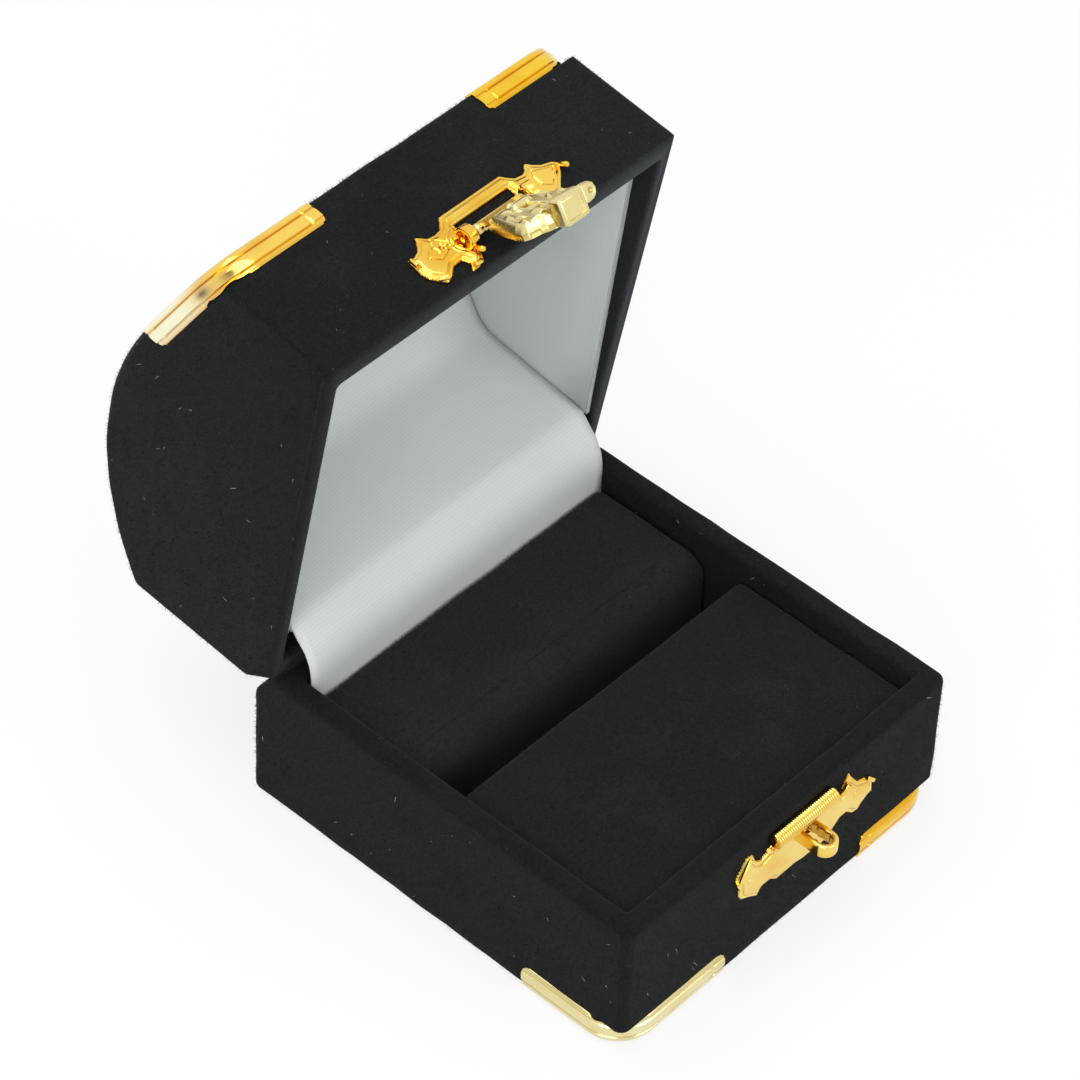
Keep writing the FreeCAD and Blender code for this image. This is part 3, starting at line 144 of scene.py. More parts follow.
# ---------------------------------------------------------------------------
# Base: a moulded shell under a velvet cover that is folded over the rim and
# down the inside walls. The rear top edge is bevelled for the lid to swing,
# and the lower front corners are rounded off to seat the brass corner trims.
# ---------------------------------------------------------------------------

# Measures are in millimetres and turned into metres when a mesh is made.
MM = 0.001
HALF_WIDTH, HALF_DEPTH, BASE_HEIGHT = 24.0, 25.4, 17.7
BEVEL_RUN, BEVEL_DROP = 3.2, 3.9
TRAY_X, TRAY_FRONT, TRAY_REAR = 21.5, -22.9, 20.2
CORNER, TRIM_BEND, TRIM_PROUD = 1.15, 4.5, 0.15
TRIM_SEAT = TRIM_BEND - TRIM_PROUD
SLOT_HALF, SLOT_FRONT, SLOT_REAR = 17.3, 19.0, 23.35
SIDE_STEPS = 24


def sines(*angles):
    """The sine and cosine of each angle in degrees."""
    return [(math.sin(math.radians(a)), math.cos(math.radians(a))) for a in angles]


def linked(name, mesh, finish):
    """A mesh made an object of the scene."""
    mesh.materials.append(finish)
    made = bpy.data.objects.new(name, mesh)
    bpy.context.scene.collection.objects.link(made)
    return made


def piece(name, points, faces, finish, smooth=35.0):
    """A mesh object from points in millimetres, smooth across edges below an angle."""
    mesh = bpy.data.meshes.new(name)
    mesh.from_pydata([tuple(c * MM for c in point) for point in points], [], faces)
    return settled(linked(name, mesh, finish), smooth)


def gathered(*parts):
    """The meshes of some pieces, as one bmesh."""
    work = bmesh.new()
    for part in parts:
        work.from_mesh(part.data)
    return work


def settled(made, smooth=35.0):
    """A piece with doubles merged, its faces turned outwards and its sharp edges set."""
    work = gathered(made)
    bmesh.ops.remove_doubles(work, verts=work.verts, dist=1e-7)
    bmesh.ops.dissolve_degenerate(work, edges=work.edges, dist=1e-8)
    bmesh.ops.recalc_face_normals(work, faces=work.faces)
    work.to_mesh(made.data)
    work.free()
    return shaded(made, smooth)


def shaded(made, smooth):
    """A piece shaded smooth but for edges sharper than an angle."""
    made.data.shade_smooth()
    made.data.set_sharp_from_angle(angle=math.radians(smooth))
    return made


def applied(made):
    """Leave a piece as its modifiers make it, without them."""
    shape = bpy.data.meshes.new_from_object(made.evaluated_get(bpy.context.evaluated_depsgraph_get()))
    made.modifiers.clear()
    made.data = shape


def cut_away(made, *cutters):
    """Subtract solids from a piece, then drop them."""
    for cutter in cutters:
        cutting = made.modifiers.new("cut", "BOOLEAN")
        cutting.operation, cutting.solver, cutting.object = "DIFFERENCE", "EXACT", cutter
    applied(made)
    for cutter in cutters:
        bpy.data.objects.remove(cutter)
    settled(made)


def rounded_ring(half_x, front, rear, front_round, rear_round, height):
    """Points round a rectangle with rounded corners, the same number for any size."""
    arcs = []
    for x, y, turn, start in ((half_x, front, front_round, -90), (half_x, rear, rear_round, 0),
                              (-half_x, rear, rear_round, 90), (-half_x, front, front_round, 180)):
        centre_x = x - math.copysign(turn, x)
        centre_y = y + turn if y == front else y - turn
        arcs.append([(centre_x + turn * cos, centre_y + turn * sin)
                     for sin, cos in sines(*range(start, start + 100, 10))])
    ring = []
    for arc, following in zip(arcs, arcs[1:] + arcs[:1]):
        (x, y), (next_x, next_y) = arc[-1], following[0]
        ring += arc + [(x + k / SIDE_STEPS * (next_x - x), y + k / SIDE_STEPS * (next_y - y))
                       for k in range(1, SIDE_STEPS)]
    return [(x, y, height) for x, y in ring]


def lofted(rings):
    """Points and faces of a skin over rings of equal count, with both end rings filled."""
    count, last = len(rings[0]), len(rings) - 1
    faces = [(k * count + i, k * count + (i + 1) % count, (k + 1) * count + (i + 1) % count, (k + 1) * count + i)
             for k in range(last) for i in range(count)]
    faces += [tuple(reversed(range(count))), tuple(range(last * count, (last + 1) * count))]
    return [point for ring in rings for point in ring], faces


def base_ring(height, inset=0.0, front_round=CORNER):
    """One level of the base's outside, with the rear face following the bevel."""
    over = max(0.0, height - (BASE_HEIGHT - BEVEL_DROP))
    rear = HALF_DEPTH - over * BEVEL_RUN / BEVEL_DROP - inset
    return rounded_ring(HALF_WIDTH - inset, -HALF_DEPTH + inset, rear, max(0.3, front_round - inset),
                        max(0.3, CORNER - inset), height)


def tray_ring(height, spread=0.0):
    """One level of the tray's inside."""
    turn = 0.35 + spread
    return rounded_ring(TRAY_X + spread, TRAY_FRONT - spread, TRAY_REAR + spread, turn, turn, height)


def hinge_slot(low, high):
    """What the hinge takes off the rear edge, between two heights."""
    points = [(x, y, z) for x in (-SLOT_HALF, SLOT_HALF) for y in (SLOT_FRONT, SLOT_REAR) for z in (low, high)]
    faces = [(0, 1, 3, 2), (4, 6, 7, 5), (0, 4, 5, 1), (2, 3, 7, 6), (0, 2, 6, 4), (1, 5, 7, 3)]
    return piece("cutter", points, faces, black_velvet)


def ruffle(made, depth, scale):
    """Push a piece's points in and out a little, as cloth that is glued by hand lies."""
    normals = [vertex.normal.copy() for vertex in made.data.vertices]
    for vertex, normal in zip(made.data.vertices, normals):
        vertex.co += normal * (noise.noise(vertex.co * scale) * depth * MM)


base_rings = [tray_ring(0.45), tray_ring(0.0), base_ring(0.0, 0.45, TRIM_BEND), base_ring(0.12, 0.12, TRIM_BEND)]
base_rings += [base_ring(height, 0.0, TRIM_SEAT) for height in (0.45, 1.6, 2.98)]
base_rings += [base_ring(height) for height in (3.02, 3.3, *(3.3 + 1.02 * k for k in range(1, 10)),
                                                13.1, 13.5, 13.9, 14.4, 15.2, 16.1, 17.0)]
base_rings += [base_ring(17.0 + 0.7 * sin, 0.7 * (1 - cos)) for sin, cos in sines(20, 40, 60, 80)]
base_rings += [tray_ring(BASE_HEIGHT - 0.02, 0.62)]
base_rings += [tray_ring(BASE_HEIGHT - 0.6 + 0.6 * sin, 0.6 * (1 - cos)) for sin, cos in sines(70, 45, 20, 0)]
base_rings += [tray_ring(height) for height in (16.0, 14.0, 11.0, 6.0, 1.85)]
base_cover = piece("base_velvet", *lofted(base_rings), black_velvet)
ruffle(base_cover, 0.09, 260)
cut_away(base_cover, hinge_slot(16.55, 18.9))
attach(base_cover, "base")
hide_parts("base_velvet_cover")


# ---------------------------------------------------------------------------
# Lid: the domed shell in its own velvet cover, drawn shut and then swung open
# on the hinge. A straight slope runs up from the front wall and meets the
# round crown; the rear edge is bevelled like the base's, to make room.
# ---------------------------------------------------------------------------

HINGE_Y, HINGE_Z, OPEN_ANGLE = 22.2, 17.7, 80.4
RIM_Z, FRONT_TOP, CROWN_Z = 18.0, 34.4, 44.2
CROWN_RADIUS, CROWN_Y, LID_WALL = 37.3, 4.65, 1.6
RIM_BEVEL, REAR_LEAN, SIDE_ROUND = 3.3, 0.8, 0.85
INSIDE_X, INSIDE_REAR, RIM_FRONT = HALF_WIDTH - LID_WALL, 20.2, -HALF_DEPTH + 2.75
CROWN_CENTRE = CROWN_Z - CROWN_RADIUS
RUN, FALL = CROWN_Y + HALF_DEPTH, FRONT_TOP - CROWN_CENTRE
SLOPE = math.asin(CROWN_RADIUS / math.hypot(RUN, FALL)) - math.atan2(FALL, RUN)


def about_x(y, z, degrees):
    """A turn about a line along X, for meshes in metres."""
    centre = Matrix.Translation((0, y * MM, z * MM))
    return centre @ Matrix.Rotation(math.radians(degrees), 4, "X") @ centre.inverted()


OPENED = about_x(HINGE_Y, HINGE_Z, -OPEN_ANGLE)


def slope_height(y):
    """How high the straight slope stands at a place along Y."""
    return FRONT_TOP + (y + HALF_DEPTH) * math.tan(SLOPE)


def crown_height(y, inset=0.0):
    """How high the round crown stands there, or what lies an inset under it."""
    return CROWN_CENTRE + math.sqrt((CROWN_RADIUS - inset) ** 2 - (y - CROWN_Y) ** 2)


def dome_path(inset, rear_y, steps=26):
    """The dome's side line, taken in by an inset, from its rear end forwards to the slope's foot."""
    radius = CROWN_RADIUS - inset
    meet_y = CROWN_Y - radius * math.sin(SLOPE)
    crown = [(y, crown_height(y, inset)) for y in np.linspace(rear_y, meet_y, steps)]
    return crown + [(-HALF_DEPTH + inset, FRONT_TOP + inset * (math.tan(SLOPE) - 1 / math.cos(SLOPE)))]


def eased(corners, rounds, steps=4):
    """An outline with some of its corners rounded: rounds maps a corner's number to its radius."""
    line = []
    for k, corner in enumerate(corners):
        if k not in rounds:
            line.append(corner)
            continue
        here = Vector(corner)
        before = (Vector(corners[k - 1]) - here).normalized()
        after = (Vector(corners[(k + 1) % len(corners)]) - here).normalized()
        reach = rounds[k] / math.tan(before.angle(after) / 2)
        start, finish = here + before * reach, here + after * reach
        line += [tuple((1 - u) ** 2 * start + 2 * u * (1 - u) * here + u ** 2 * finish)
                 for u in np.linspace(0, 1, steps)]
    return line


def lid_loop(inset):
    """Side outline of the lid, taken in all round."""
    bevel = math.hypot(BEVEL_RUN, RIM_BEVEL)
    rim_rear = (HINGE_Y + inset * (BEVEL_RUN - bevel) / RIM_BEVEL, RIM_Z + inset)
    bevel_top = (HALF_DEPTH - inset, RIM_Z + RIM_BEVEL + inset * (bevel - RIM_BEVEL) / BEVEL_RUN)
    dome = dome_path(inset, HALF_DEPTH + REAR_LEAN - inset)
    corners = [(-HALF_DEPTH + inset, RIM_Z + inset), rim_rear, bevel_top] + dome
    soft = {0: 0.45, 1: 0.35, 2: 0.9, 3: 1.3, len(corners) - 1: 1.0}
    return eased(corners, {k: max(0.12, r - inset) for k, r in soft.items()}, 6)


def mark_points(made, title, values):
    """Keep a measure from 0 to 1 on a piece's points, for its finish."""
    made.data.attributes.new(title, "FLOAT", "POINT").data.foreach_set("value", np.array(values, np.float32))


def corner_post(side):
    """What a trim takes off a front corner of the lid: all outside its bend, out past the walls."""
    clear_x, clear_y = side * 26.0, -27.5
    centre_x, centre_y = side * (HALF_WIDTH + TRIM_PROUD - TRIM_BEND), -HALF_DEPTH - TRIM_PROUD + TRIM_BEND
    plan = [(centre_x + side * TRIM_SEAT * sin, centre_y - TRIM_SEAT * cos) for sin, cos in sines(*range(0, 91, 10))]
    plan += [(clear_x, centre_y), (clear_x, clear_y), (centre_x, clear_y)]
    low = [(x, y, slope_height(y) - 2.8) for x, y in plan]
    return piece("post", *lofted([low, [(x, y, z + 9.0) for x, y, z in low]]), black_velvet)


lid_stations = [(HALF_WIDTH - SIDE_ROUND * (1 - sin), SIDE_ROUND * (1 - cos)) for sin, cos in sines(90, 68, 45, 22, 0)]
lid_stations += [(x, 0.0) for x in np.linspace(22, -22, 23)] + [(-x, inset) for x, inset in reversed(lid_stations)]
lid_cover = piece("lid_velvet", *lofted([[(x, y, z) for y, z in lid_loop(inset)] for x, inset in lid_stations]),
                  black_velvet)
ruffle(lid_cover, 0.09, 260)
hollow_side = [(INSIDE_REAR, 16.0)] + dome_path(LID_WALL, INSIDE_REAR)
hollow_side += [(-HALF_DEPTH + LID_WALL, 20.0), (RIM_FRONT, 19.4), (RIM_FRONT, 16.0)]
hollow = piece("hollow", *lofted([[(x, y, z) for y, z in hollow_side] for x in (INSIDE_X, -INSIDE_X)]), black_velvet)
FLARE = ((17.5, 0.5), (18.0, 0.45), (18.06, 0.30), (18.2, 0.14), (18.45, 0.02), (18.6, 0.0))
flare_rings = [rounded_ring(INSIDE_X + spread, RIM_FRONT - spread, INSIDE_REAR + spread, 0.3 + spread, 0.3 + spread,
                            height) for height, spread in FLARE]
flare = piece("flare", *lofted(flare_rings), black_velvet)
cut_away(lid_cover, hollow, flare, corner_post(-1), corner_post(1), hinge_slot(17.0, 18.85))

# Painted light: the rim is painted paler as grazing sheen would show it, most of all toward the right, and the inner
# walls a little.
rub_marks_and_painted_light = []
for vertex in lid_cover.data.vertices:
    x, y, z = (c / MM for c in vertex.co)
    toward_right = (x + HALF_WIDTH) / (2 * HALF_WIDTH)
    wear_and_painted_light = 0.07 * toward_right ** 2 if y < -25.0 else 0.0
    if abs(x) < 22.8 and -24.2 < y < 20.8 and z < crown_height(y, 1.0):
        wear_and_painted_light = 0.22
    rim = min(1.0, max(0.0, 1 - (z - RIM_Z) / 0.4))
    outermost = x < -23.2 or y < -24.5
    rub_marks_and_painted_light.append(max(wear_and_painted_light, rim * (0.35 + 0.75 * toward_right) * (0.45 if outermost else 1.0)))
    if abs(x) > 23.0 and z < RIM_Z + 0.6:
        vertex.co.x += math.copysign(0.3 * MM, x)
mark_points(lid_cover, "rub_marks_and_painted_light", rub_marks_and_painted_light)
lid_cover.data.transform(OPENED)
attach(lid_cover, "lid")
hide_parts("lid_velvet_cover")


# ---------------------------------------------------------------------------
# Ring pads: two blocks of soft foam under the same flocked pile, pressed into
# the tray on a folded card. They nip a ring in the gap between them; the rear
# pad's lip is rolled over, and both swell slightly in the middle.
# ---------------------------------------------------------------------------

flocked_foam = velvet("flocked_foam", (0.0066, 0.0072, 0.0071), (0.0185, 0.0198, 0.0194), 0.095)
PAD_X, PAD_FOOT, PAD_TOP, SIDE_LIP = 21.3, 6.5, 15.5, 0.9


def foam_pad(name, stands_for, front, rear, front_lip, rear_lip, swell):
    """A pad between two places along Y, with the radius of each lip and the swell of its top."""
    def level(height, inset_front, inset_side, inset_rear):
        turn = min(0.5 + inset_side / 2, 0.45 * (rear - front - inset_front - inset_rear))
        return rounded_ring(PAD_X - inset_side, front + inset_front, rear - inset_rear, turn, turn, height)
    rings = [level(PAD_FOOT, 0.3, 0.3, 0.3)] + [level(height, 0, 0, 0) for height in
                                                (PAD_FOOT + 0.4, PAD_TOP - 5.0, PAD_TOP - 3.2)]
    for sin, cos in sines(0, 18, 36, 54, 72, 90):
        rings.append(level(PAD_TOP - (1 - sin) * max(front_lip, rear_lip, SIDE_LIP) * 0.999,
                           *(lip * (1 - cos) for lip in (front_lip, SIDE_LIP, rear_lip))))
    half = (rear - front) / 2
    for inset in (1.2, 2.2, 3.4, 4.8, 6.4, half - 0.9):
        lift = swell * (1 - (1 - min(1.0, inset / (half - 1))) ** 2)
        rings.append(level(PAD_TOP + lift, *(max(lip, inset) for lip in (front_lip, SIDE_LIP, rear_lip))))
    pad = piece(name, *lofted(rings), flocked_foam)
    ruffle(pad, 0.16, 170)
    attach(pad, "base")
    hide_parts(stands_for)
    return pad


front_pad = foam_pad("front_ring_pad", "ring_pad_front", -22.7, -0.2, 0.9, 1.1, 0.22)
rear_pad = foam_pad("rear_ring_pad", "ring_pad_rear", 4.3, 19.2, 3.0, 0.7, 0.15)
# Painted light: the whole rear pad is painted a little paler, lifting the shade the open lid casts on it.
mark_points(rear_pad, "rub_marks_and_painted_light", np.full(len(rear_pad.data.vertices), 0.14))


# ---------------------------------------------------------------------------
# Satin: a thin white acetate weave pasted over card. One sheet lines the dome,
# turns down over the hinge, bulges forward and is tucked behind the rear pad;
# two cheeks close the lid's sides.
# ---------------------------------------------------------------------------

def satin(name, tone, along, threads_run, ribbed):
    """White satin, woven along X or Z of its own coordinates and Y; ribbed is how strongly it shows."""
    finish, tree, shader = new_finish(name)
    space = pattern_space(tree, source=along)
    cloudy = speckle(tree, space, 90)
    warp, weft = (node(tree, "ShaderNodeTexWave", {"Scale": apart, "Distortion": 0.8, "Detail": 1, "Vector": space},
                       wave_type="BANDS", bands_direction=way).outputs["Color"]
                  for way, apart in ((threads_run, 900), ("Y", 780)))
    threads = mixed(tree, 0.30, mixed(tree, 0.5, warp, weft), speckle(tree, space, 5200))
    light = tuple(c * (1 + 0.03 * ribbed) for c in tone)
    dark = tuple(c * (1 - 0.09 * ribbed) for c in tone)
    weave = graded(tree, threads, (0.25, dark), (0.75, light))
    shade = graded(tree, cloudy, (0.3, (0.975, 0.98, 0.98)), (0.7, (1.02,) * 3))
    fill(tree, shader.inputs, {
        "Base Color": mixed(tree, 1.0, weave, shade, "MULTIPLY"), "Roughness": remapped(tree, threads, 0.42, 0.58),
        "Sheen Weight": 0.15, "Sheen Roughness": 0.35, "Specular IOR Level": 0.35,
        "Normal": bumped(tree, threads, 0.00002, 0.35 * ribbed)})
    return finish


white_satin = satin("white_satin", (0.758, 0.793, 0.768), "UV", "X", 0.8)
# Painted shade: the cheeks are the same white satin given a darker tone, for the shade on the lid's sides.
cheek_satin_painted_shade = satin("cheek_satin_painted_shade", (0.66, 0.70, 0.69), "Object", "Z", 0.6)
SATIN, LINING_X, LINING_FOOT, CHEEK_X = 0.3, 21.45, 20.9, 21.75
LINING_INSET, CHEEK_INSET = LID_WALL + 0.85, LID_WALL + 0.25


def opened(y, z):
    """Where a place of the shut lid is when the lid stands open."""
    turn = math.radians(OPEN_ANGLE)
    dy, dz = y - HINGE_Y, z - HINGE_Z
    return (HINGE_Y + dy * math.cos(turn) + dz * math.sin(turn), HINGE_Z - dy * math.sin(turn) + dz * math.cos(turn))


def evenly(line, step):
    """The same line with points a step apart, and its length."""
    lengths = np.cumsum([0] + [(b - a).length for a, b in zip(map(Vector, line), map(Vector, line[1:]))])
    marks = np.linspace(0, lengths[-1], max(2, int(lengths[-1] / step) + 1))
    return list(zip(*(np.interp(marks, lengths, places) for places in zip(*map(Vector, line))))), lengths[-1]


def cells_of(rows, columns):
    """The square faces between points laid out in rows."""
    return [(k, k + 1, k + 1 + columns, k + columns) for k in range((rows - 1) * columns) if (k + 1) % columns]


def hung_sheet(name, line, half_width, columns, finish):
    """A sheet swept across X along a side line, with a UV map in its own width and length, in metres."""
    points = [(x, y, z) for y, z in line for x in np.linspace(-half_width, half_width, columns)]
    made = piece(name, points, cells_of(len(line), columns), finish, 60)
    run = np.cumsum([0] + [math.dist(a, b) for a, b in zip(line, line[1:])])
    down = {(round(y, 3), round(z, 3)): along for (y, z), along in zip(line, run)}
    layer = made.data.uv_layers.new(name="UVMap")
    for loop in made.data.loops:
        here = made.data.vertices[loop.vertex_index].co
        layer.data[loop.index].uv = (here.x, down[(round(here.y / MM, 3), round(here.z / MM, 3))] * MM)
    return made


def thicken(sheet):
    """Give a sheet of satin its thickness, half to each side."""
    solid = sheet.modifiers.new("thickness", "SOLIDIFY")
    solid.thickness, solid.offset = SATIN * MM, 0


lining_shut = [(-HALF_DEPTH + LINING_INSET, LINING_FOOT)] + dome_path(LINING_INSET, 5.85)[::-1]
lining_shut += [(16.2, 33.5), (16.2, 18.9)]
curtain = [(21.3, 22.45), (20.3, 21.35), (19.65, 20.0), (19.35, 18.6), (19.3, 17.2), (19.3, 12.6)]
count = len(lining_shut)
lining_line, lining_length = evenly(eased([opened(y, z) for y, z in lining_shut] + curtain,
                                          {1: 1.2, count - 3: 5.0, count - 2: 4.5, count - 1: 0.8}, 9), 0.8)
satin_lining = hung_sheet("satin_lining", lining_line, LINING_X, 44, white_satin)
for vertex in satin_lining.data.vertices:
    edge = min(1.0, (LINING_X * MM - abs(vertex.co.x)) / 0.003)
    vertex.co += Vector((0, -1, 0.3)) * (noise.noise(vertex.co * 95) * 0.00016 * edge)
thicken(satin_lining)
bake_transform(satin_lining)
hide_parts("lid_satin_lining", "satin_curtain")

cheek_line = [(16.6, 18.75)] + dome_path(CHEEK_INSET, 16.6) + [(-HALF_DEPTH + CHEEK_INSET, LINING_FOOT)]
for side, side_name in ((-1, "left"), (1, "right")):
    cheek = piece("satin_cheek_" + side_name, [(side * CHEEK_X, y, z) for y, z in cheek_line],
                  [tuple(range(len(cheek_line)))], cheek_satin_painted_shade)
    work = gathered(cheek)
    flat_area = sum(face.calc_area() for face in work.faces)
    bmesh.ops.triangulate(work, faces=work.faces)
    bmesh.ops.subdivide_edges(work, edges=work.edges, cuts=3, use_grid_fill=True)
    work.to_mesh(cheek.data)
    work.free()
    cheek.data.transform(OPENED)
    thicken(cheek)
    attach(cheek, "lid")
    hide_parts("lid_satin_cheek_" + side_name)


# ---------------------------------------------------------------------------
# Corner trims: strips of thin brass sheet, pressed with facets and a groove,
# bent round the four front corners and lapped over the edge. Each is held by
# two small nails, whose heads stay as they are.
# ---------------------------------------------------------------------------

def brass(name, bright, deep, hollow, rough):
    """Polished plated metal, a little uneven in tone, with shallow dents and fine rubbing marks.
    Its pieces mark on their points where shade is painted darker in hollows, where a highlight is painted pale, or
    where it is cracked dark."""
    finish, tree, shader = new_finish(name)
    cloudy = speckle(tree, pattern_space(tree), 190)
    rub_marks_and_painted_light = speckle(tree, pattern_space(tree, (1, 1, 5)), 2600, 2, 0.6)
    tone = graded(tree, cloudy, (0.34, deep), (0.56, bright))
    # Painted highlight: where a piece marks it pale, the metal is painted pale as a highlight.
    # Painted shade: where a piece marks it hollow, the metal is painted darker, as shade falls in hollows.
    for title, shade in (("wear_and_highlight", (0.95, 0.94, 0.70)), ("hollow", hollow), ("cracked", (0.13, 0.10, 0.05))):
        tone = mixed(tree, marked(tree, title), tone, shade)
    fill(tree, shader.inputs, {"Base Color": tone, "Roughness": remapped(tree, rub_marks_and_painted_light, rough * 0.7, rough * 1.3),
                               "Metallic": 1.0, "Normal": bumped(tree, cloudy, 0.0001, 0.35)})
    return finish


trim_brass = brass("trim_brass", (0.92, 0.60, 0.05), (0.85, 0.46, 0.02), (0.70, 0.34, 0.015), 0.17)
pale_trim_brass = brass("pale_trim_brass", (0.86, 0.79, 0.46), (0.79, 0.69, 0.33), (0.56, 0.45, 0.19), 0.22)

# Cross-section of a trim from the lapped edge down the face and back: out from the face, down, and how hollow, for the
# shade painted in its grooves.
TRIM_SECTION = [(-1.30, -0.02, 0), (-1.26, 0.12, 0), (-0.90, 0.17, 0.1), (-0.45, 0.18, 0.3), (-0.18, 0.13, 0.2),
                (-0.03, 0.02, 0), (0.03, -0.12, 0), (0.07, -0.34, 0.1), (0.09, -0.52, 0.35), (0.03, -0.58, 0.8),
                (-0.03, -0.66, 0.9), (0.06, -0.74, 0.4), (0.15, -0.92, 0), (0.19, -1.35, 0), (0.18, -1.75, 0),
                (0.15, -1.98, 0.1), (0.03, -2.08, 0.35), (-0.03, -2.14, 0.5), (0.03, -2.21, 0.3), (0.06, -2.36, 0.3),
                (0.04, -2.58, 0.5), (-0.08, -2.76, 0.8), (-0.20, -2.80, 1), (-0.36, -2.78, 1), (-0.40, -2.60, 0),
                (-0.40, -1.5, 0), (-0.40, -0.45, 0), (-0.52, -0.22, 0), (-0.80, -0.12, 0), (-1.22, -0.12, 0)]
TRIM_DROP, TRIM_NIP, IN_BEND = -2.8, 0.85, 20.0
NEAR_END = [0.0, 0.04, 0.12, 0.24, 0.40, 0.60, 0.85, 1.1, 1.3, 1.42, 1.5, 1.62, 1.72]


def trim_stations(side, front_leg, side_leg):
    """Places along a trim: position, outward direction and distance to the nearer end, or in the bend
    the angle in degrees added to IN_BEND."""
    outer_x, outer_y = side * (HALF_WIDTH + TRIM_PROUD), -HALF_DEPTH - TRIM_PROUD
    centre_x, centre_y = outer_x - side * TRIM_BEND, outer_y + TRIM_BEND
    start_x, end_y = side * (HALF_WIDTH - front_leg), -HALF_DEPTH + side_leg
    front, beside = (NEAR_END + list(np.linspace(2.2, reach, 8))
                     for reach in (abs(centre_x - start_x), end_y - centre_y))
    stations = [((start_x + side * s, outer_y), (0.0, -1.0), s) for s in front]
    for a in np.radians(np.arange(6, 90, 6)):
        facing = (side * math.sin(a), -math.cos(a))
        stations.append(((centre_x + TRIM_BEND * facing[0], centre_y + TRIM_BEND * facing[1]), facing,
                         IN_BEND + math.degrees(a)))
    return stations + [((outer_x, end_y - s), (float(side), 0.0), s) for s in reversed(beside)]


def pressed_trim(name, stations, edge_height, way, finish):
    """A strip bent along its stations; way is -1 for a trim that hangs from its lapped edge, 1 upside down."""
    rings, sunk = [], {}
    for (x, y), facing, reach in stations:
        cut = TRIM_NIP - math.sqrt(max(0.0, TRIM_NIP ** 2 - max(0.0, TRIM_NIP - reach) ** 2))
        frame_line = 0.07 * math.exp(-((reach - 1.5) / 0.12) ** 2)
        angle = reach - IN_BEND
        pinch = math.exp(-((angle - 42.0) / 16.0) ** 2) + 0.7 * math.exp(-((angle - 78.0) / 9.0) ** 2)
        ring = []
        for out, down, hollow in TRIM_SECTION:
            on_face = out > -0.45 and down < 0
            if pinch > 0.01:
                down = max(down, TRIM_DROP + 0.55 * pinch) if on_face else down
                out -= 0.18 * pinch * math.exp(-((down + 1.7) / 0.5) ** 2)
            down = max(down, TRIM_DROP + 0.9 * cut) if on_face else down
            out = max(out, -1.6 + 0.9 * cut) if out < -0.5 else out
            if on_face and reach < 1.4 and out > -0.3 and (-2.18 < down < -1.95 or -0.74 < down < -0.55):
                out = max(out, 0.02)
            if on_face and out > -0.3 and -2.1 < down < -0.3:
                out -= frame_line
            px, py = x + facing[0] * out, y + facing[1] * out
            ring.append((px, py, edge_height(py) + way * -down))
            sunk[tuple(round(c, 4) for c in ring[-1])] = hollow
        rings.append(ring)
    made = piece(name, *lofted(rings), finish, 40)
    # Painted shade: the hollow column marks where the grooves are painted darker.
    mark_points(made, "hollow", [sunk.get(tuple(round(c / MM, 4) for c in vertex.co), 0.0)
                                 for vertex in made.data.vertices])
    return made


def in_mm(made):
    """A piece's points in millimetres, one to a row."""
    return np.array([vertex.co for vertex in made.data.vertices]) / MM


# Each crack: place across and along, how far it lies below the edge, and its length and height.
CRACKS = ((-21.9, -24.9, 1.5, 1.2, 0.42), (-24.0, -22.2, 1.4, 0.9, 0.5))


def highlight_and_crack_plating(trim):
    """Paint a highlight pale along the side leg, and crack the plating dark in two spots where the strip is bent."""
    x, y, z = in_mm(trim).T
    mark_points(trim, "wear_and_highlight", 0.12 + 0.8 * np.clip((y + HALF_DEPTH - 1.0) / 6.0, 0, 1))
    cracks = sum(np.exp(-(np.hypot(x - at_x, y - at_y) / length) ** 2 - ((z - slope_height(y) + down) / height) ** 2)
                 for at_x, at_y, down, length, height in CRACKS)
    mark_points(trim, "cracked", np.clip(cracks, 0, 1))


BASE_LAP = 0.19
for body, side, side_name, front_leg, side_leg, finish in (
        ("base", -1, "left", 15.0, 13.0, pale_trim_brass), ("base", 1, "right", 12.2, 13.0, trim_brass),
        ("lid", -1, "left", 13.3, 14.4, trim_brass), ("lid", 1, "right", 12.2, 14.4, trim_brass)):
    edge, way = (slope_height, -1) if body == "lid" else (lambda y: BASE_LAP, 1)
    trim = pressed_trim(f"{body}_trim_{side_name}", trim_stations(side, front_leg, side_leg), edge, way, finish)
    for vertex in trim.data.vertices:
        vertex.co += vertex.normal * (noise.noise(vertex.co * 300) * 0.000012)
    if (body, side_name) == ("lid", "left"):
        highlight_and_crack_plating(trim)
    if body == "lid":
        trim.data.transform(OPENED)
    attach(trim, body)
    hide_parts(f"{body}_corner_trim_{side_name}")


# ---------------------------------------------------------------------------
# Catch: a brass plate stamped with a border line, its top edge rolled into a
# ribbed bead and its tips curled. A strap bent into a loop stands out of it.
# ---------------------------------------------------------------------------

gilt_brass = brass("gilt_brass", (0.92, 0.68, 0.17), (0.87, 0.56, 0.09), (0.45, 0.23, 0.03), 0.15)
PLATE_X = 1.9


def baked(name, work):
    """A mesh from a bmesh, which is used up."""
    mesh = bpy.data.meshes.new(name)
    work.to_mesh(mesh)
    work.free()
    return mesh


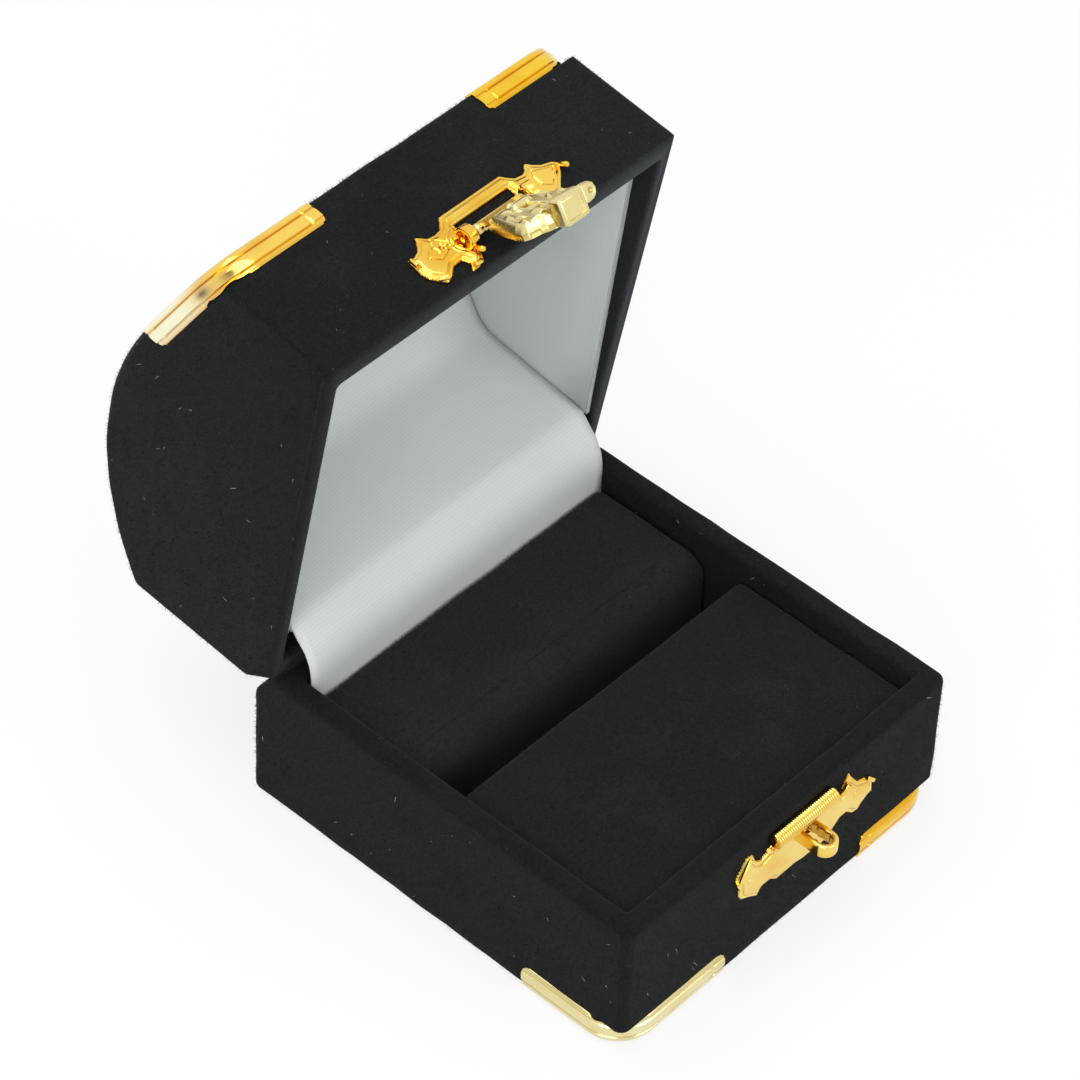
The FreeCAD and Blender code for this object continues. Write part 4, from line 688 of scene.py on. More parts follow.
def depth_in(points, outline):
    """How far points lie inside an outline, below zero outside it, and the nearest places on it."""
    start = np.array(outline, float)
    run = np.roll(start, -1, axis=0) - start
    share = np.clip(((points[:, None, :] - start[None]) * run).sum(2) / (run ** 2).sum(1), 0, 1)
    nearest = start + share[..., None] * run
    gap = np.linalg.norm(points[:, None, :] - nearest, axis=2)
    pick = np.arange(len(points)), gap.argmin(1)
    x, y = points[:, None, 0], points[:, None, 1]
    above = (start[None, :, 1] > y) != (np.roll(start, -1, axis=0)[None, :, 1] > y)
    rise = np.where(run[:, 1] == 0, 1e-9, run[:, 1])
    cross_x = start[:, 0] + (y - start[:, 1]) / rise * run[:, 0]
    inside = (above & (x < cross_x)).sum(1) % 2 == 1
    return np.where(inside, 1, -1) * gap[pick], nearest[pick]


# A place is hollow as far as it lies below the mean height of what is near it, wholly at this depth; hollows are
# painted darker as shade.
NEAR_REACH, HOLLOW_DEPTH = 0.22, 0.07


def blurred(field, times):
    """A grid of values, each made the mean of itself and its neighbours a number of times."""
    for _ in range(times):
        for axis in (0, 1):
            field = sum(np.roll(field, k, axis) for k in (-1, 0, 1)) / 3
    return field.ravel()


def stamped_sheet(name, outline, relief, foot, finish, place, step=0.09, lines=(), smooth=62):
    """A sheet pressed in relief: relief gives its height from how deep in the outline a point lies,
    foot is its back, place turns (across, up, height) into a point of the box, and lines are the
    depths at which it is creased."""
    edge = np.array(outline, float)
    low, high = edge.min(0) - step, edge.max(0) + step
    xs, zs = (np.arange(low[k], high[k] + step, step) for k in (0, 1))
    grid = np.array([(x, z) for z in zs for x in xs])
    depth, nearest = depth_in(grid, outline)
    inside = depth > 0
    snap = np.abs(depth) < 0.42 * step
    for line in lines:
        close = np.abs(depth - line) < 0.45 * step
        grid[close] = nearest[close] + (grid[close] - nearest[close]) * (line / depth[close])[:, None]
        depth[close] = line
    width = len(xs)
    cells = [cell for cell in cells_of(len(zs), width) if any(inside[k] and not snap[k] for k in cell)]
    used = sorted({k for cell in cells for k in cell})
    for k in used:
        if not inside[k] or snap[k]:
            grid[k], depth[k] = nearest[k], 0.0
    heights = relief(depth[used], grid[used, 0], grid[used, 1])
    field, known = np.zeros((2, len(grid)))
    field[used], known[used] = heights, 1.0
    times = int(NEAR_REACH / step) + 1
    level, weight = (blurred(values.reshape(-1, width), times)[used] for values in (field, known))
    sunk = level / np.maximum(weight, 1e-6) - heights
    work = bmesh.new()
    tops = {k: work.verts.new([c * MM for c in place(*grid[k], height)]) for k, height in zip(used, heights)}
    for cell in cells:
        work.faces.new([tops[k] for k in cell])
    rim = [e for e in work.edges if e.is_boundary]
    number = {vertex: k for k, vertex in tops.items()}
    lower = {vertex: work.verts.new([c * MM for c in place(*grid[number[vertex]], foot)])
             for vertex in dict.fromkeys(v for e in rim for v in e.verts)}
    for e in rim:
        a, b = e.verts
        work.faces.new((a, b, lower[b], lower[a]))
    bmesh.ops.triangle_fill(work, edges=[e for e in work.edges if e.is_boundary], use_beauty=True)
    made = settled(linked(name, baked(name, work), finish), smooth)
    # Painted shade: how hollow each point lies is marked for the finish to darken.
    marks = np.zeros(len(made.data.vertices))
    marks[:len(used)] = np.clip(sunk / HOLLOW_DEPTH, 0, 1)
    mark_points(made, "hollow", marks)
    return made


def on_front(x, z, out):
    """A point this far out from the front wall."""
    return (x, -HALF_DEPTH - out, z)


def step_up(value, start, run):
    """0 before a start, 1 a run after it, and smooth between."""
    share = np.clip((value - start) / run, 0, 1)
    return share * share * (3 - 2 * share)


def near(value, middle, half, fade):
    """1 within a half width of a middle less its fade, falling to 0 at the half width."""
    return np.clip((half - np.abs(value - middle)) / fade, 0, 1)


catch_outline = eased(
    [(-2.4, 14.7), (-3.3, 13.9), (-3.85, 13.6), (-4.6, 13.35), (-5.4, 13.9), (-6.1, 15.35), (-7.0, 15.5), (-7.6, 14.4),
     (-8.4, 13.3), (-8.1, 12.2), (-7.8, 11.2), (-7.75, 10.4), (-7.35, 9.7), (-6.2, 9.1), (-4.95, 8.25), (-4.3, 9.2),
     (-3.1, 9.2), (-2.1, 8.4), (0.8, 8.45), (1.9, 8.2), (4.2, 8.15), (5.9, 8.15), (6.6, 9.0), (7.6, 9.8), (8.5, 9.8),
     (9.5, 8.85), (10.5, 8.7), (11.0, 9.3), (11.9, 9.8), (12.6, 9.95), (12.45, 11.6), (12.1, 12.3), (11.5, 12.65),
     (10.2, 13.2), (9.4, 14.2), (8.4, 15.7), (7.9, 14.5), (7.4, 13.4), (6.8, 13.6), (6.2, 14.1), (5.6, 14.9),
     (5.6, 15.7), (-2.4, 15.7)],
    {1: 0.5, 2: 0.3, 3: 0.5, 13: 0.4, 15: 0.3, 16: 0.4, 22: 0.6, 23: 0.5, 24: 0.4, 26: 0.4, 30: 0.5, 38: 0.4})


def catch_relief(depth, x, z):
    """A raised border, a groove under the bead and a ribbed well in the loop."""
    edge = 0.22 + 0.18 * step_up(depth, 0.0, 0.18) + 0.18 * step_up(depth, 0.54, 0.18)
    groove = 0.14 * near(z, 14.62, 0.16, 0.16) * (np.abs(x - 1.6) < 4.4)
    well = near(x, PLATE_X, 0.85, 0.12) * near(z, 12.7, 0.8, 0.12)
    return edge - groove - well * (0.30 + 0.12 * np.cos(z * 14.0))


def turned(name, start, finish, profile, metal, sides=24):
    """A turned or rolled rod between two points in millimetres: profile lists (share along, radius)."""
    start, finish = Vector(start), Vector(finish)
    along = finish - start
    first = along.orthogonal().normalized()
    second = along.normalized().cross(first)
    rings = [[tuple(start + along * share + (first * math.cos(t) + second * math.sin(t)) * radius)
              for t in (math.tau * k / sides for k in range(sides))] for share, radius in profile]
    return piece(name, *lofted(rings), metal, 40)


def curled(name, sides, metal, *ends):
    """Torn tips rolled over: little rods on the front, from and to a place across, out and up."""
    profile = [(0.0, 0.12), (0.0, 0.24), (0.08, 0.30), (0.5, 0.27), (0.92, 0.30), (1.0, 0.24), (1.0, 0.12)]
    return [turned(name, on_front(x0, z0, y0), on_front(x1, z1, y1), profile, metal, sides)
            for x0, y0, z0, x1, y1, z1 in ends]


def joined(name, parts):
    """Several meshes made one, with their marks."""
    sunk = []
    for part in parts:
        marks = part.data.attributes.get("hollow")
        sunk += [mark.value for mark in marks.data] if marks else [0.0] * len(part.data.vertices)
        if marks:
            part.data.attributes.remove(marks)
    mesh, finish = baked(name, gathered(*parts)), parts[0].data.materials[0]
    for part in parts:
        bpy.data.objects.remove(part)
    made = shaded(linked(name, mesh, finish), 50)
    mark_points(made, "hollow", sunk)
    return made


catch_plate = stamped_sheet("catch_plate_stamped", catch_outline, catch_relief, 0.02, gilt_brass, on_front,
                            0.075, (0.18, 0.54, 0.72))
BEAD_Y, BEAD_Z, RIBS = -HALF_DEPTH - 0.72, 15.35, 30
ribs = [(0.0, 0.45), (0.0, 0.72), (0.012, 0.84)]
for k in range(RIBS):
    share = 0.03 + 0.94 * k / (RIBS - 1)
    ribs += [(share - 0.0162, 0.855), (share - 0.008, 0.90), (share + 0.008, 0.90)]
ribs += [(0.988, 0.84), (1.0, 0.72), (1.0, 0.45)]
bead = turned("bead", (-3.45, BEAD_Y, BEAD_Z), (5.65, BEAD_Y, BEAD_Z), ribs, gilt_brass)
# Painted shade: the grooves between the ribs are marked half hollow and painted darker.
mark_points(bead, "hollow", [0.5 * (math.hypot(y - BEAD_Y, z - BEAD_Z) < 0.87) for x, y, z in in_mm(bead)])
catch_plate = joined("catch_plate_stamped", [catch_plate, bead] + curled(
    "curl", 14, gilt_brass, (-6.65, 0.55, 15.35, -8.15, 0.75, 13.3), (-3.35, 0.5, 13.75, -4.1, 0.7, 14.7),
    (7.2, 0.5, 13.45, 8.1, 0.7, 14.6), (11.3, 0.45, 12.8, 12.2, 0.65, 12.0), (-8.2, 0.45, 12.9, -7.9, 0.55, 12.0)))
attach(catch_plate, "base")
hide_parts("catch_plate")

# The loop: a strap 1.6 high, bent into a U with its edges worn round and fine ribs inside.
STAPLE_HALF, STAPLE_MIDDLE, STAPLE_FOOT = 1.075, 12.7, -HALF_DEPTH - 0.35
NOSE_Y = STAPLE_FOOT - 2.62
strap_section = [(0.275 * math.copysign(abs(math.cos(t)) ** 0.55, math.cos(t)),
                  0.80 * math.copysign(abs(math.sin(t)) ** 0.40, math.sin(t)))
                 for t in (math.tau * k / 28 for k in range(28))]
strap_line = [((PLATE_X - STAPLE_HALF, STAPLE_FOOT - k * 0.42), (-1.0, 0.0)) for k in range(7)]
strap_line += [((PLATE_X - STAPLE_HALF * math.cos(a), NOSE_Y - STAPLE_HALF * math.sin(a)), (-math.cos(a), -math.sin(a)))
               for a in np.radians(np.arange(10, 180, 10))]
strap_line += [((2 * PLATE_X - x, y), (1.0, 0.0)) for (x, y), facing in strap_line[6::-1]]
strap_rings = []
for number, ((x, y), (fx, fy)) in enumerate(strap_line):
    ribbed = [(out - 0.16 * (number % 2) * (out < -0.15), up) for out, up in strap_section]
    strap_rings.append([(x + out * fx, y + out * fy, STAPLE_MIDDLE + up) for out, up in ribbed])
staple = piece("catch_loop", *lofted(strap_rings), gilt_brass, 40)
# Painted shade and tarnish: the inside of the loop is marked hollow and painted dark.
mark_points(staple, "hollow", [0.85 * (math.hypot(x - PLATE_X, max(0.0, NOSE_Y - y)) < STAPLE_HALF - 0.1)
                               for x, y, z in in_mm(staple)])
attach(staple, "base")
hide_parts("catch_staple")


# ---------------------------------------------------------------------------
# Clasp plate on the lid: two stepped shields joined by a ridged bar, round a
# window. Two round ears stand out of it and carry the hasp's pin.
# ---------------------------------------------------------------------------

clasp_gilt = brass("clasp_gilt", (0.92, 0.62, 0.11), (0.84, 0.48, 0.05), (0.42, 0.19, 0.02), 0.15)
CLASP_INNER = [(3.75, 23.55), (3.8, 20.9), (4.25, 20.3), (4.1, 19.4), (4.5, 18.75), (5.4, 18.45), (6.4, 18.45),
               (5.85, 19.25)]
CLASP_LEFT = [(6.3, 20.05), (7.4, 19.95), (8.3, 19.25), (9.2, 18.9), (9.8, 19.6), (10.35, 20.3), (10.6, 21.3),
              (10.45, 22.4), (10.4, 23.2), (9.6, 23.2), (8.85, 23.5), (8.2, 24.2), (7.8, 24.85), (6.9, 24.0)]
CLASP_RIGHT = [(6.2, 19.9), (7.0, 19.85), (7.9, 20.25), (8.74, 21.04), (9.5, 21.74), (10.2, 22.66), (9.6, 23.3),
               (8.5, 23.65), (7.9, 24.1), (7.25, 24.84), (6.7, 24.15)]
CLASP_TOP = [(6.1, 23.9), (5.2, 24.05), (4.65, 24.6), (4.2, 25.2)]
clasp_outline = [(PLATE_X + u, z) for u, z in CLASP_INNER + CLASP_RIGHT + CLASP_TOP]
clasp_outline += [(PLATE_X - u, z) for u, z in reversed(CLASP_INNER + CLASP_LEFT + CLASP_TOP)]
clasp_outline = eased(clasp_outline, {k: 0.25 for k in range(1, len(clasp_outline), 2)})
SHIELDS = ([(8.83, 23.46), (10.91, 22.62), (9.37, 20.91), (8.38, 21.71), (8.42, 22.81)],
           [(-5.22, 23.73), (-5.82, 22.62), (-7.01, 21.99), (-5.89, 21.09), (-4.54, 21.6), (-3.65, 21.67)])


def clasp_relief(depth, x, z):
    """A stepped edge, a sunk frame in each shield, two rings round the ears and a flower with a hole."""
    edge = 0.20 + 0.18 * step_up(depth, 0.0, 0.16)
    step = 0.22 * np.clip((depth - 0.38) / 0.34, 0, 1)
    frames = 0.0
    for shield in SHIELDS:
        gap = depth_in(np.stack([x, z], 1), shield)[0]
        frames = frames + 0.10 * near(gap, 0.0, 0.11, 0.11) - 0.04 * np.clip(gap / 0.3, 0, 1)
    ear = np.hypot(np.abs(x - PLATE_X) - 4.15, z - 21.6)
    rings = 0.10 * near(ear, 1.45, 0.12, 0.12) + 0.08 * near(ear, 1.85, 0.1, 0.1)
    flower = np.hypot(x + 5.0, z - 22.2)
    petals = 0.09 * np.exp(-((flower - 0.5 - 0.12 * np.cos(5 * np.arctan2(z - 22.2, x + 5.0))) / 0.13) ** 2)
    return edge + step - frames + rings + petals - 0.22 * (1 - step_up(flower, 0.18, 0.14))


clasp_plate = stamped_sheet("clasp_plate_stamped", clasp_outline, clasp_relief, 0.02, clasp_gilt, on_front,
                            0.07, (0.16, 0.38, 0.72))
PIVOT_Y, PIVOT_Z = -26.5, 21.3
EAR = [(0.62, 0.10), (0.62, 0.78), (0.05, 0.86), (0.0, 0.95), (0.0, 1.12), (0.05, 1.22), (0.8, 1.22), (0.9, 1.12),
       (1.0, 0.9), (1.0, 0.25)]
ears = [turned("ear", (outer, PIVOT_Y, PIVOT_Z), (inner, PIVOT_Y, PIVOT_Z), EAR, clasp_gilt, 28)
        for outer, inner in ((-3.05, -1.75), (6.85, 5.55))]
# Riveting has left the middles of the ears uneven; the seed makes them the same each run.
EAR_SEED = 7
noise.seed_set(EAR_SEED)
for ear in ears:
    for vertex in ear.data.vertices:
        if math.hypot(vertex.co.y / MM - PIVOT_Y, vertex.co.z / MM - PIVOT_Z) < 0.9:
            vertex.co += Vector(noise.noise_vector(vertex.co * 1500)) * 0.00016
clasp_plate = joined("clasp_plate_stamped", [clasp_plate] + ears + curled(
    "prong", 12, clasp_gilt, (-8.3, 0.4, 23.0, -8.5, 0.8, 21.9), (-7.9, 0.4, 19.7, -7.1, 0.8, 19.1),
    (-2.4, 0.5, 20.2, -2.2, 1.0, 19.3), (11.9, 0.35, 22.5, 11.85, 1.1, 21.6), (-3.0, 0.4, 18.7, -4.2, 0.9, 18.6)))
clasp_plate.data.transform(OPENED)
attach(clasp_plate, "lid")
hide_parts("clasp_plate")


# ---------------------------------------------------------------------------
# Hasp: a champagne-gilt tongue stamped with scrolls, with its sides turned
# down. It swings on a barrel; its slot drops over the catch loop, and a thick
# end with a side tab is what the finger lifts.
# ---------------------------------------------------------------------------

pale_gilt = brass("pale_gilt", (0.745, 0.645, 0.30), (0.70, 0.57, 0.23), (0.44, 0.32, 0.10), 0.25)
HANG_ANGLE = -42.0
HANGING = OPENED @ about_x(PIVOT_Y, PIVOT_Z, HANG_ANGLE)
HASP_HALF = [(1.2, 10.4), (1.9, 10.3), (2.5, 9.9), (2.9, 9.4), (4.1, 8.95), (4.5, 8.3), (4.35, 7.0), (3.0, 2.3),
             (2.75, 1.5), (2.4, 1.15)]
hasp_outline = eased(HASP_HALF + [(-u, s) for u, s in reversed(HASP_HALF)],
                     {2: 0.4, 3: 0.4, 4: 0.4, 5: 0.5, 7: 0.5, 12: 0.5, 14: 0.5, 15: 0.4, 16: 0.4, 17: 0.4})
# Each scroll: place across and along, half its length and width, and the way it leans in degrees.
SCROLLS = ((-1.5, 3.4, 0.75, 0.26, 15), (-2.6, 4.9, 0.85, 0.28, -10), (-1.35, 4.75, 0.6, 0.24, 30),
           (-2.5, 6.5, 0.7, 0.26, 20), (-3.3, 7.9, 0.7, 0.26, -5), (-2.2, 8.9, 0.8, 0.25, 60),
           (1.6, 3.2, 0.7, 0.25, -20), (2.5, 4.5, 0.8, 0.27, 10), (2.0, 5.8, 0.65, 0.25, -30),
           (3.0, 6.6, 0.7, 0.26, 5), (2.2, 7.9, 0.7, 0.26, -15), (3.4, 8.1, 0.5, 0.24, 15), (0.0, 2.2, 0.5, 0.3, 90))
HOLLOWS = ((0.15, 4.55), (0.15, 6.35))
TAB_DOWN = 11.3


def hasp_relief(depth, u, s):
    """Rolled sides, the scrolls, a lens and a bar raised, two square hollows and the slot sunk."""
    rolled = np.clip(depth / 0.9, 0, 1)
    face = 0.12 + 0.88 * np.sin(rolled * math.pi / 2) - 0.06 * near(depth, 0.95, 0.14, 0.14)
    petals = 0.0
    for across, along, length, width, lean in SCROLLS:
        sin, cos = sines(lean)[0]
        far = np.hypot(((s - along) * cos + (u - across) * sin) / length,
                       ((u - across) * cos - (s - along) * sin) / width)
        petals = np.maximum(petals, 0.27 * np.clip(1 - (far / 1.25) ** 2, 0, 1) ** 1.5)
    lens = np.hypot((u + 1.05) / 0.5, (s - 7.5) / 0.95)
    petals = np.maximum(petals, 0.32 * np.clip(1 - (lens / 1.2) ** 2, 0, 1) ** 1.2)
    petals = np.maximum(petals, 0.42 * near(u, 0.15, 1.2, 0.3) * near(s, 3.6, 0.5, 0.3))
    face = face + petals * np.clip((depth - 0.45) / 0.3, 0, 1)
    for across, along in HOLLOWS:
        rim = np.maximum(np.abs(u - across), np.abs(s - along))
        face = face - 0.62 * (1 - step_up(rim, 0.46, 0.16)) + 0.08 * near(rim, 0.74, 0.13, 0.13)
    slot_edge = np.maximum(np.abs(u) / 1.45, np.abs(s - 9.15) / 0.85)
    return face - 0.95 * (1 - step_up(slot_edge, 0.84, 0.22))


def on_hasp(u, s, out):
    """A point of the hasp hung straight down: across it, down from its pin and out."""
    return (PLATE_X + u, PIVOT_Y - out, PIVOT_Z - s)


def worn_block(name, low, high, wear_and_painted_light, finish):
    """A block with its edges rounded off and a raised frame on its end, in the hasp's own measures."""
    work = bmesh.new()
    bmesh.ops.create_cube(work, size=1.0)
    for vertex in work.verts:
        vertex.co = Vector([(a + b) / 2 + c * (b - a) for a, b, c in zip(low, high, vertex.co)])
    bmesh.ops.bevel(work, geom=list(work.edges), offset=wear_and_painted_light, segments=4, profile=0.5, affect="EDGES")
    end = max(work.faces, key=lambda face: (round(face.calc_center_median().y, 4), face.calc_area()))
    bmesh.ops.inset_region(work, faces=[end], thickness=0.22, depth=0.0)
    bmesh.ops.inset_region(work, faces=[end], thickness=0.10, depth=-0.14)
    for vertex in work.verts:
        vertex.co = Vector(on_hasp(*vertex.co)) * MM
    return settled(linked(name, baked(name, work), finish))


def tab_relief(depth, u, n):
    """A stepped edge and a dimple."""
    dimple = 0.16 * (1 - step_up(np.hypot(u - 2.35, n - 1.35), 0.18, 0.22))
    return 0.34 + 0.16 * step_up(depth, 0.0, 0.18) - dimple


def on_tab(u, n, thick):
    """A point of the tab, which stands out from the hasp at its foot."""
    return on_hasp(u, TAB_DOWN + thick, n)


BARREL = [(0.0, 0.30), (0.0, 0.56), (0.02, 0.65), (0.10, 0.65), (0.12, 0.58), (0.14, 0.65), (0.86, 0.65), (0.88, 0.58),
          (0.90, 0.65), (0.98, 0.65), (1.0, 0.56), (1.0, 0.30)]
neck_side = [(0.0, 0.62), (0.5, 0.64), (0.95, 0.70), (1.35, 0.80), (1.9, 0.84), (1.9, 0.40), (1.35, 0.35), (0.95, 0.30),
             (0.5, 0.26), (0.0, 0.25)]
neck_rings = [[on_hasp(u, s, out) for s, out in neck_side] for u in (-2.75, -2.6, -1.3, 0, 1.3, 2.6, 2.75)]
tab_line = [(1.2, 0.35), (1.9, 0.36), (2.5, 0.46), (2.95, 0.8), (3.1, 1.35), (2.95, 1.9), (2.5, 2.24), (1.9, 2.34),
            (1.2, 2.35)]
hasp = joined("hasp_stamped", [
    stamped_sheet("face", hasp_outline, hasp_relief, -0.42, pale_gilt, on_hasp, 0.06, (0.1, 0.25, 0.5), 80),
    turned("barrel", (PLATE_X - 3.3, PIVOT_Y, PIVOT_Z), (PLATE_X + 3.3, PIVOT_Y, PIVOT_Z), BARREL, pale_gilt),
    piece("neck", *lofted(neck_rings), pale_gilt),
    worn_block("end_block", (-1.85, 10.3, -0.48), (1.4, 11.95, 2.35), 0.3, pale_gilt),
    stamped_sheet("tab", tab_line, tab_relief, 0.0, pale_gilt, on_tab, 0.10)])
hasp.data.transform(HANGING)
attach(hasp, "hasp")
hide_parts("hasp")


# ---------------------------------------------------------------------------
# What the covers hide: moulded shells, card and paper behind the linings, and
# the steel hinge with its pin and rivets. Their shapes are the part's own.
# ---------------------------------------------------------------------------

def dull(name, dark, light, grain, rough):
    """A plain matt stuff with a fine grain: moulded plastic, card, paper or lint."""
    finish, tree, shader = new_finish(name)
    spread = speckle(tree, pattern_space(tree), grain, 4, 0.6)
    fill(tree, shader.inputs, {"Base Color": graded(tree, spread, (0.3, dark), (0.7, light)),
                               "Roughness": remapped(tree, spread, rough - 0.08, rough + 0.08),
                               "Normal": bumped(tree, spread, 0.00005, 0.6)})
    return finish


moulded = dull("moulded_shell", (0.020, 0.020, 0.021), (0.034, 0.034, 0.035), 900, 0.55)
paper = dull("black_paper", (0.012, 0.012, 0.012), (0.024, 0.024, 0.023), 2600, 0.85)
white_card = dull("white_card", (0.50, 0.54, 0.53), (0.60, 0.64, 0.63), 1800, 0.9)
steel = brass("hinge_steel", (0.62, 0.61, 0.58), (0.42, 0.41, 0.39), (0.25, 0.24, 0.23), 0.30)
for finish, names in (
        (moulded, ("base_shell", "lid_shell")), (paper, ("base_bottom_sheet", "pad_support_card")),
        (white_card, ("lid_lining_card", "lid_cheek_card_left", "lid_cheek_card_right")),
        (steel, ("hinge_leaf_base", "hinge_leaf_lid", "hinge_pin", "hinge_rivets_base", "hinge_rivets_lid")),
        (pale_trim_brass, ("base_trim_nails",)), (trim_brass, ("lid_trim_nails",)),
        (gilt_brass, ("catch_plate_pins",)), (clasp_gilt, ("clasp_plate_pins", "clasp_pivot_pin"))):
    for name in names:
        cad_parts[name].data.materials.clear()
        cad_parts[name].data.materials.append(finish)


# ---------------------------------------------------------------------------
# The pile itself: short fibres standing out of the velvet and the flocked
# foam, shorter round the rims that meet, with stray lint lying in it. No pile
# stands where brass presses on it.
# ---------------------------------------------------------------------------

def nap_maker():
    """Node tree that stands tapered fibres on a surface, by a measure kept on its points."""
    tree = bpy.data.node_groups.new("velvet_nap", "GeometryNodeTree")
    sockets = {}
    tree.interface.new_socket("Surface", in_out="INPUT", socket_type="NodeSocketGeometry")
    for title, kind, value in (("Fibre length", "Float", 0.0003), ("Fibre radius", "Float", 0.00002),
                               ("Fibres per square metre", "Float", 7e6), ("Lean", "Float", 0.5),
                               ("Seed", "Int", 1), ("Finish", "Material", None)):
        socket = tree.interface.new_socket(title, in_out="INPUT", socket_type="NodeSocket" + kind)
        if value is not None:
            socket.default_value = value
        sockets[title] = socket.identifier
    tree.interface.new_socket("Pile", in_out="OUTPUT", socket_type="NodeSocketGeometry")
    given = node(tree, "NodeGroupInput").outputs
    scatter = node(tree, "GeometryNodeDistributePointsOnFaces", {
        "Mesh": given["Surface"], "Density": given["Fibres per square metre"], "Seed": given["Seed"]}).outputs
    fibre = node(tree, "GeometryNodeMeshCone", {
        "Vertices": 3, "Depth": given["Fibre length"], "Radius Bottom": given["Fibre radius"]})
    less = node(tree, "ShaderNodeMath", {0: given["Lean"], 1: -1.0}, operation="MULTIPLY")
    lean = node(tree, "FunctionNodeRandomValue", {
        "Min": less.outputs["Value"], "Max": given["Lean"], "Seed": given["Seed"]}, data_type="FLOAT_VECTOR")
    turn = node(tree, "FunctionNodeRotateRotation", {
        "Rotation": scatter["Rotation"], "Rotate By": lean.outputs["Value"]}, rotation_space="LOCAL")
    size = node(tree, "FunctionNodeRandomValue", {"Min": 0.55, "Max": 1.25, "Seed": given["Seed"]})
    measure = node(tree, "GeometryNodeInputNamedAttribute", {"Name": "pile"})
    longer = node(tree, "ShaderNodeMath", {
        0: size.outputs["Value"], 1: measure.outputs["Attribute"]}, operation="MULTIPLY")
    stand = node(tree, "GeometryNodeInstanceOnPoints", {
        "Points": scatter["Points"], "Instance": fibre.outputs["Mesh"], "Rotation": turn.outputs["Rotation"],
        "Scale": longer.outputs["Value"]})
    real = node(tree, "GeometryNodeRealizeInstances", {"Geometry": stand.outputs["Instances"]})
    coat = node(tree, "GeometryNodeSetMaterial", {
        "Geometry": real.outputs["Geometry"], "Material": given["Finish"]})
    node(tree, "NodeGroupOutput", {"Pile": coat.outputs["Geometry"]})
    return tree, sockets


NAP_TREE, NAP_SOCKETS = nap_maker()
metals = {}
for body, made_of in (("base", (catch_plate, staple)), ("lid", (clasp_plate,))):
    work = gathered(*made_of, *(bpy.data.objects[f"{body}_trim_{side}"] for side in ("left", "right")))
    metals[body] = BVHTree.FromBMesh(work)
    work.free()


def pile_on_base(co):
    """How long the pile stands at a point, from 0 to 1: none under the base or behind the pads."""
    x, y, z = abs(co.x) / MM, co.y / MM, co.z / MM
    if z < 0.15 or (x < TRAY_X + 0.4 and TRAY_FRONT - 0.4 < y < TRAY_REAR + 0.4 and z < 13.0):
        return 0.0
    return 0.3 if z > BASE_HEIGHT - 0.5 else 1.0


def pile_on_lid(co):
    """The same for the lid, told where it is when the box is shut: none behind the satin."""
    x, y, z = (c / MM for c in OPENED.inverted() @ co)
    if abs(x) < 22.9 and -24.7 < y < 21.5 and 18.25 < z < min(crown_height(min(y, 25.0)), slope_height(y)) - 0.8:
        return 0.0
    return 0.3 if z < RIM_Z + 0.5 else 1.0


def pile_on_pad(co):
    """The same for a pad: its top stands clear of the tray and the rest is hidden."""
    return 1.0 if co.z / MM > 11.0 else 0.0


# How near to brass no fibre stands, in metres; and a fibre's points, three round its foot and a tip.
CLEAR_OF_METAL, FIBRE_POINTS = 0.00042, 4


def grow(name, source, measure, length, radius, density, lean, seed, finish, metal):
    """Fibres on a piece's skin: a copy of its visible faces carries them and is dropped."""
    work = gathered(source)
    bare = [face for face in work.faces if measure(face.calc_center_median()) == 0.0]
    bmesh.ops.delete(work, geom=bare, context="FACES")
    made = linked(name, baked(name, work), finish)
    mark_points(made, "pile", [max(0.3, measure(vertex.co)) for vertex in made.data.vertices])
    growing = made.modifiers.new("nap", "NODES")
    growing.node_group = NAP_TREE
    for title, value in (("Fibre length", length), ("Fibre radius", radius), ("Fibres per square metre", density),
                         ("Lean", lean), ("Seed", seed), ("Finish", finish)):
        growing[NAP_SOCKETS[title]] = value
    applied(made)
    if metal is not None:
        grown = made.data
        corners = np.empty(3 * len(grown.vertices))
        grown.vertices.foreach_get("co", corners)
        fibres = corners.reshape(-1, FIBRE_POINTS, 3)
        order = np.empty(len(grown.loops), int)
        grown.loops.foreach_get("vertex_index", order)
        one_fibre = order[:len(order) // len(fibres)]
        free = [metal.find_nearest(Vector(middle), CLEAR_OF_METAL)[0] is None for middle in fibres.mean(1)]
        fibres = fibres[np.array(free)]
        faces = (one_fibre[None] + FIBRE_POINTS * np.arange(len(fibres))[:, None]).reshape(-1, 3)
        made.data = bpy.data.meshes.new(name)
        made.data.from_pydata(fibres.reshape(-1, 3).tolist(), [], faces.tolist())
    made.data.materials.clear()
    made.data.materials.append(finish)
    return made


lint = dull("lint", (0.30, 0.30, 0.29), (0.55, 0.55, 0.53), 3000, 0.85)
for name, source, measure, body, slot, seed, finish in (
        ("base_velvet_nap", base_cover, pile_on_base, "base", "black_velvet", 11, black_velvet),
        ("lid_velvet_nap", lid_cover, pile_on_lid, "lid", "black_velvet", 12, black_velvet),
        ("front_pad_nap", front_pad, pile_on_pad, "base", "flocked_foam", 13, flocked_foam),
        ("rear_pad_nap", rear_pad, pile_on_pad, "base", "flocked_foam", 14, flocked_foam)):
    nap = grow(name, source, measure, 0.00034, 0.000019, 6.5e6, 0.6, seed, finish, metals.get(body))
    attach(nap, body)
for name, source, measure, body, seed, density in (("base_lint", base_cover, pile_on_base, "base", 31, 2.2e4),
                                                   ("lid_lint", lid_cover, pile_on_lid, "lid", 32, 1.6e4)):
    fluff = grow(name, source, measure, 0.00055, 0.000035, density, 1.5, seed, lint, metals[body])
    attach(fluff, body)


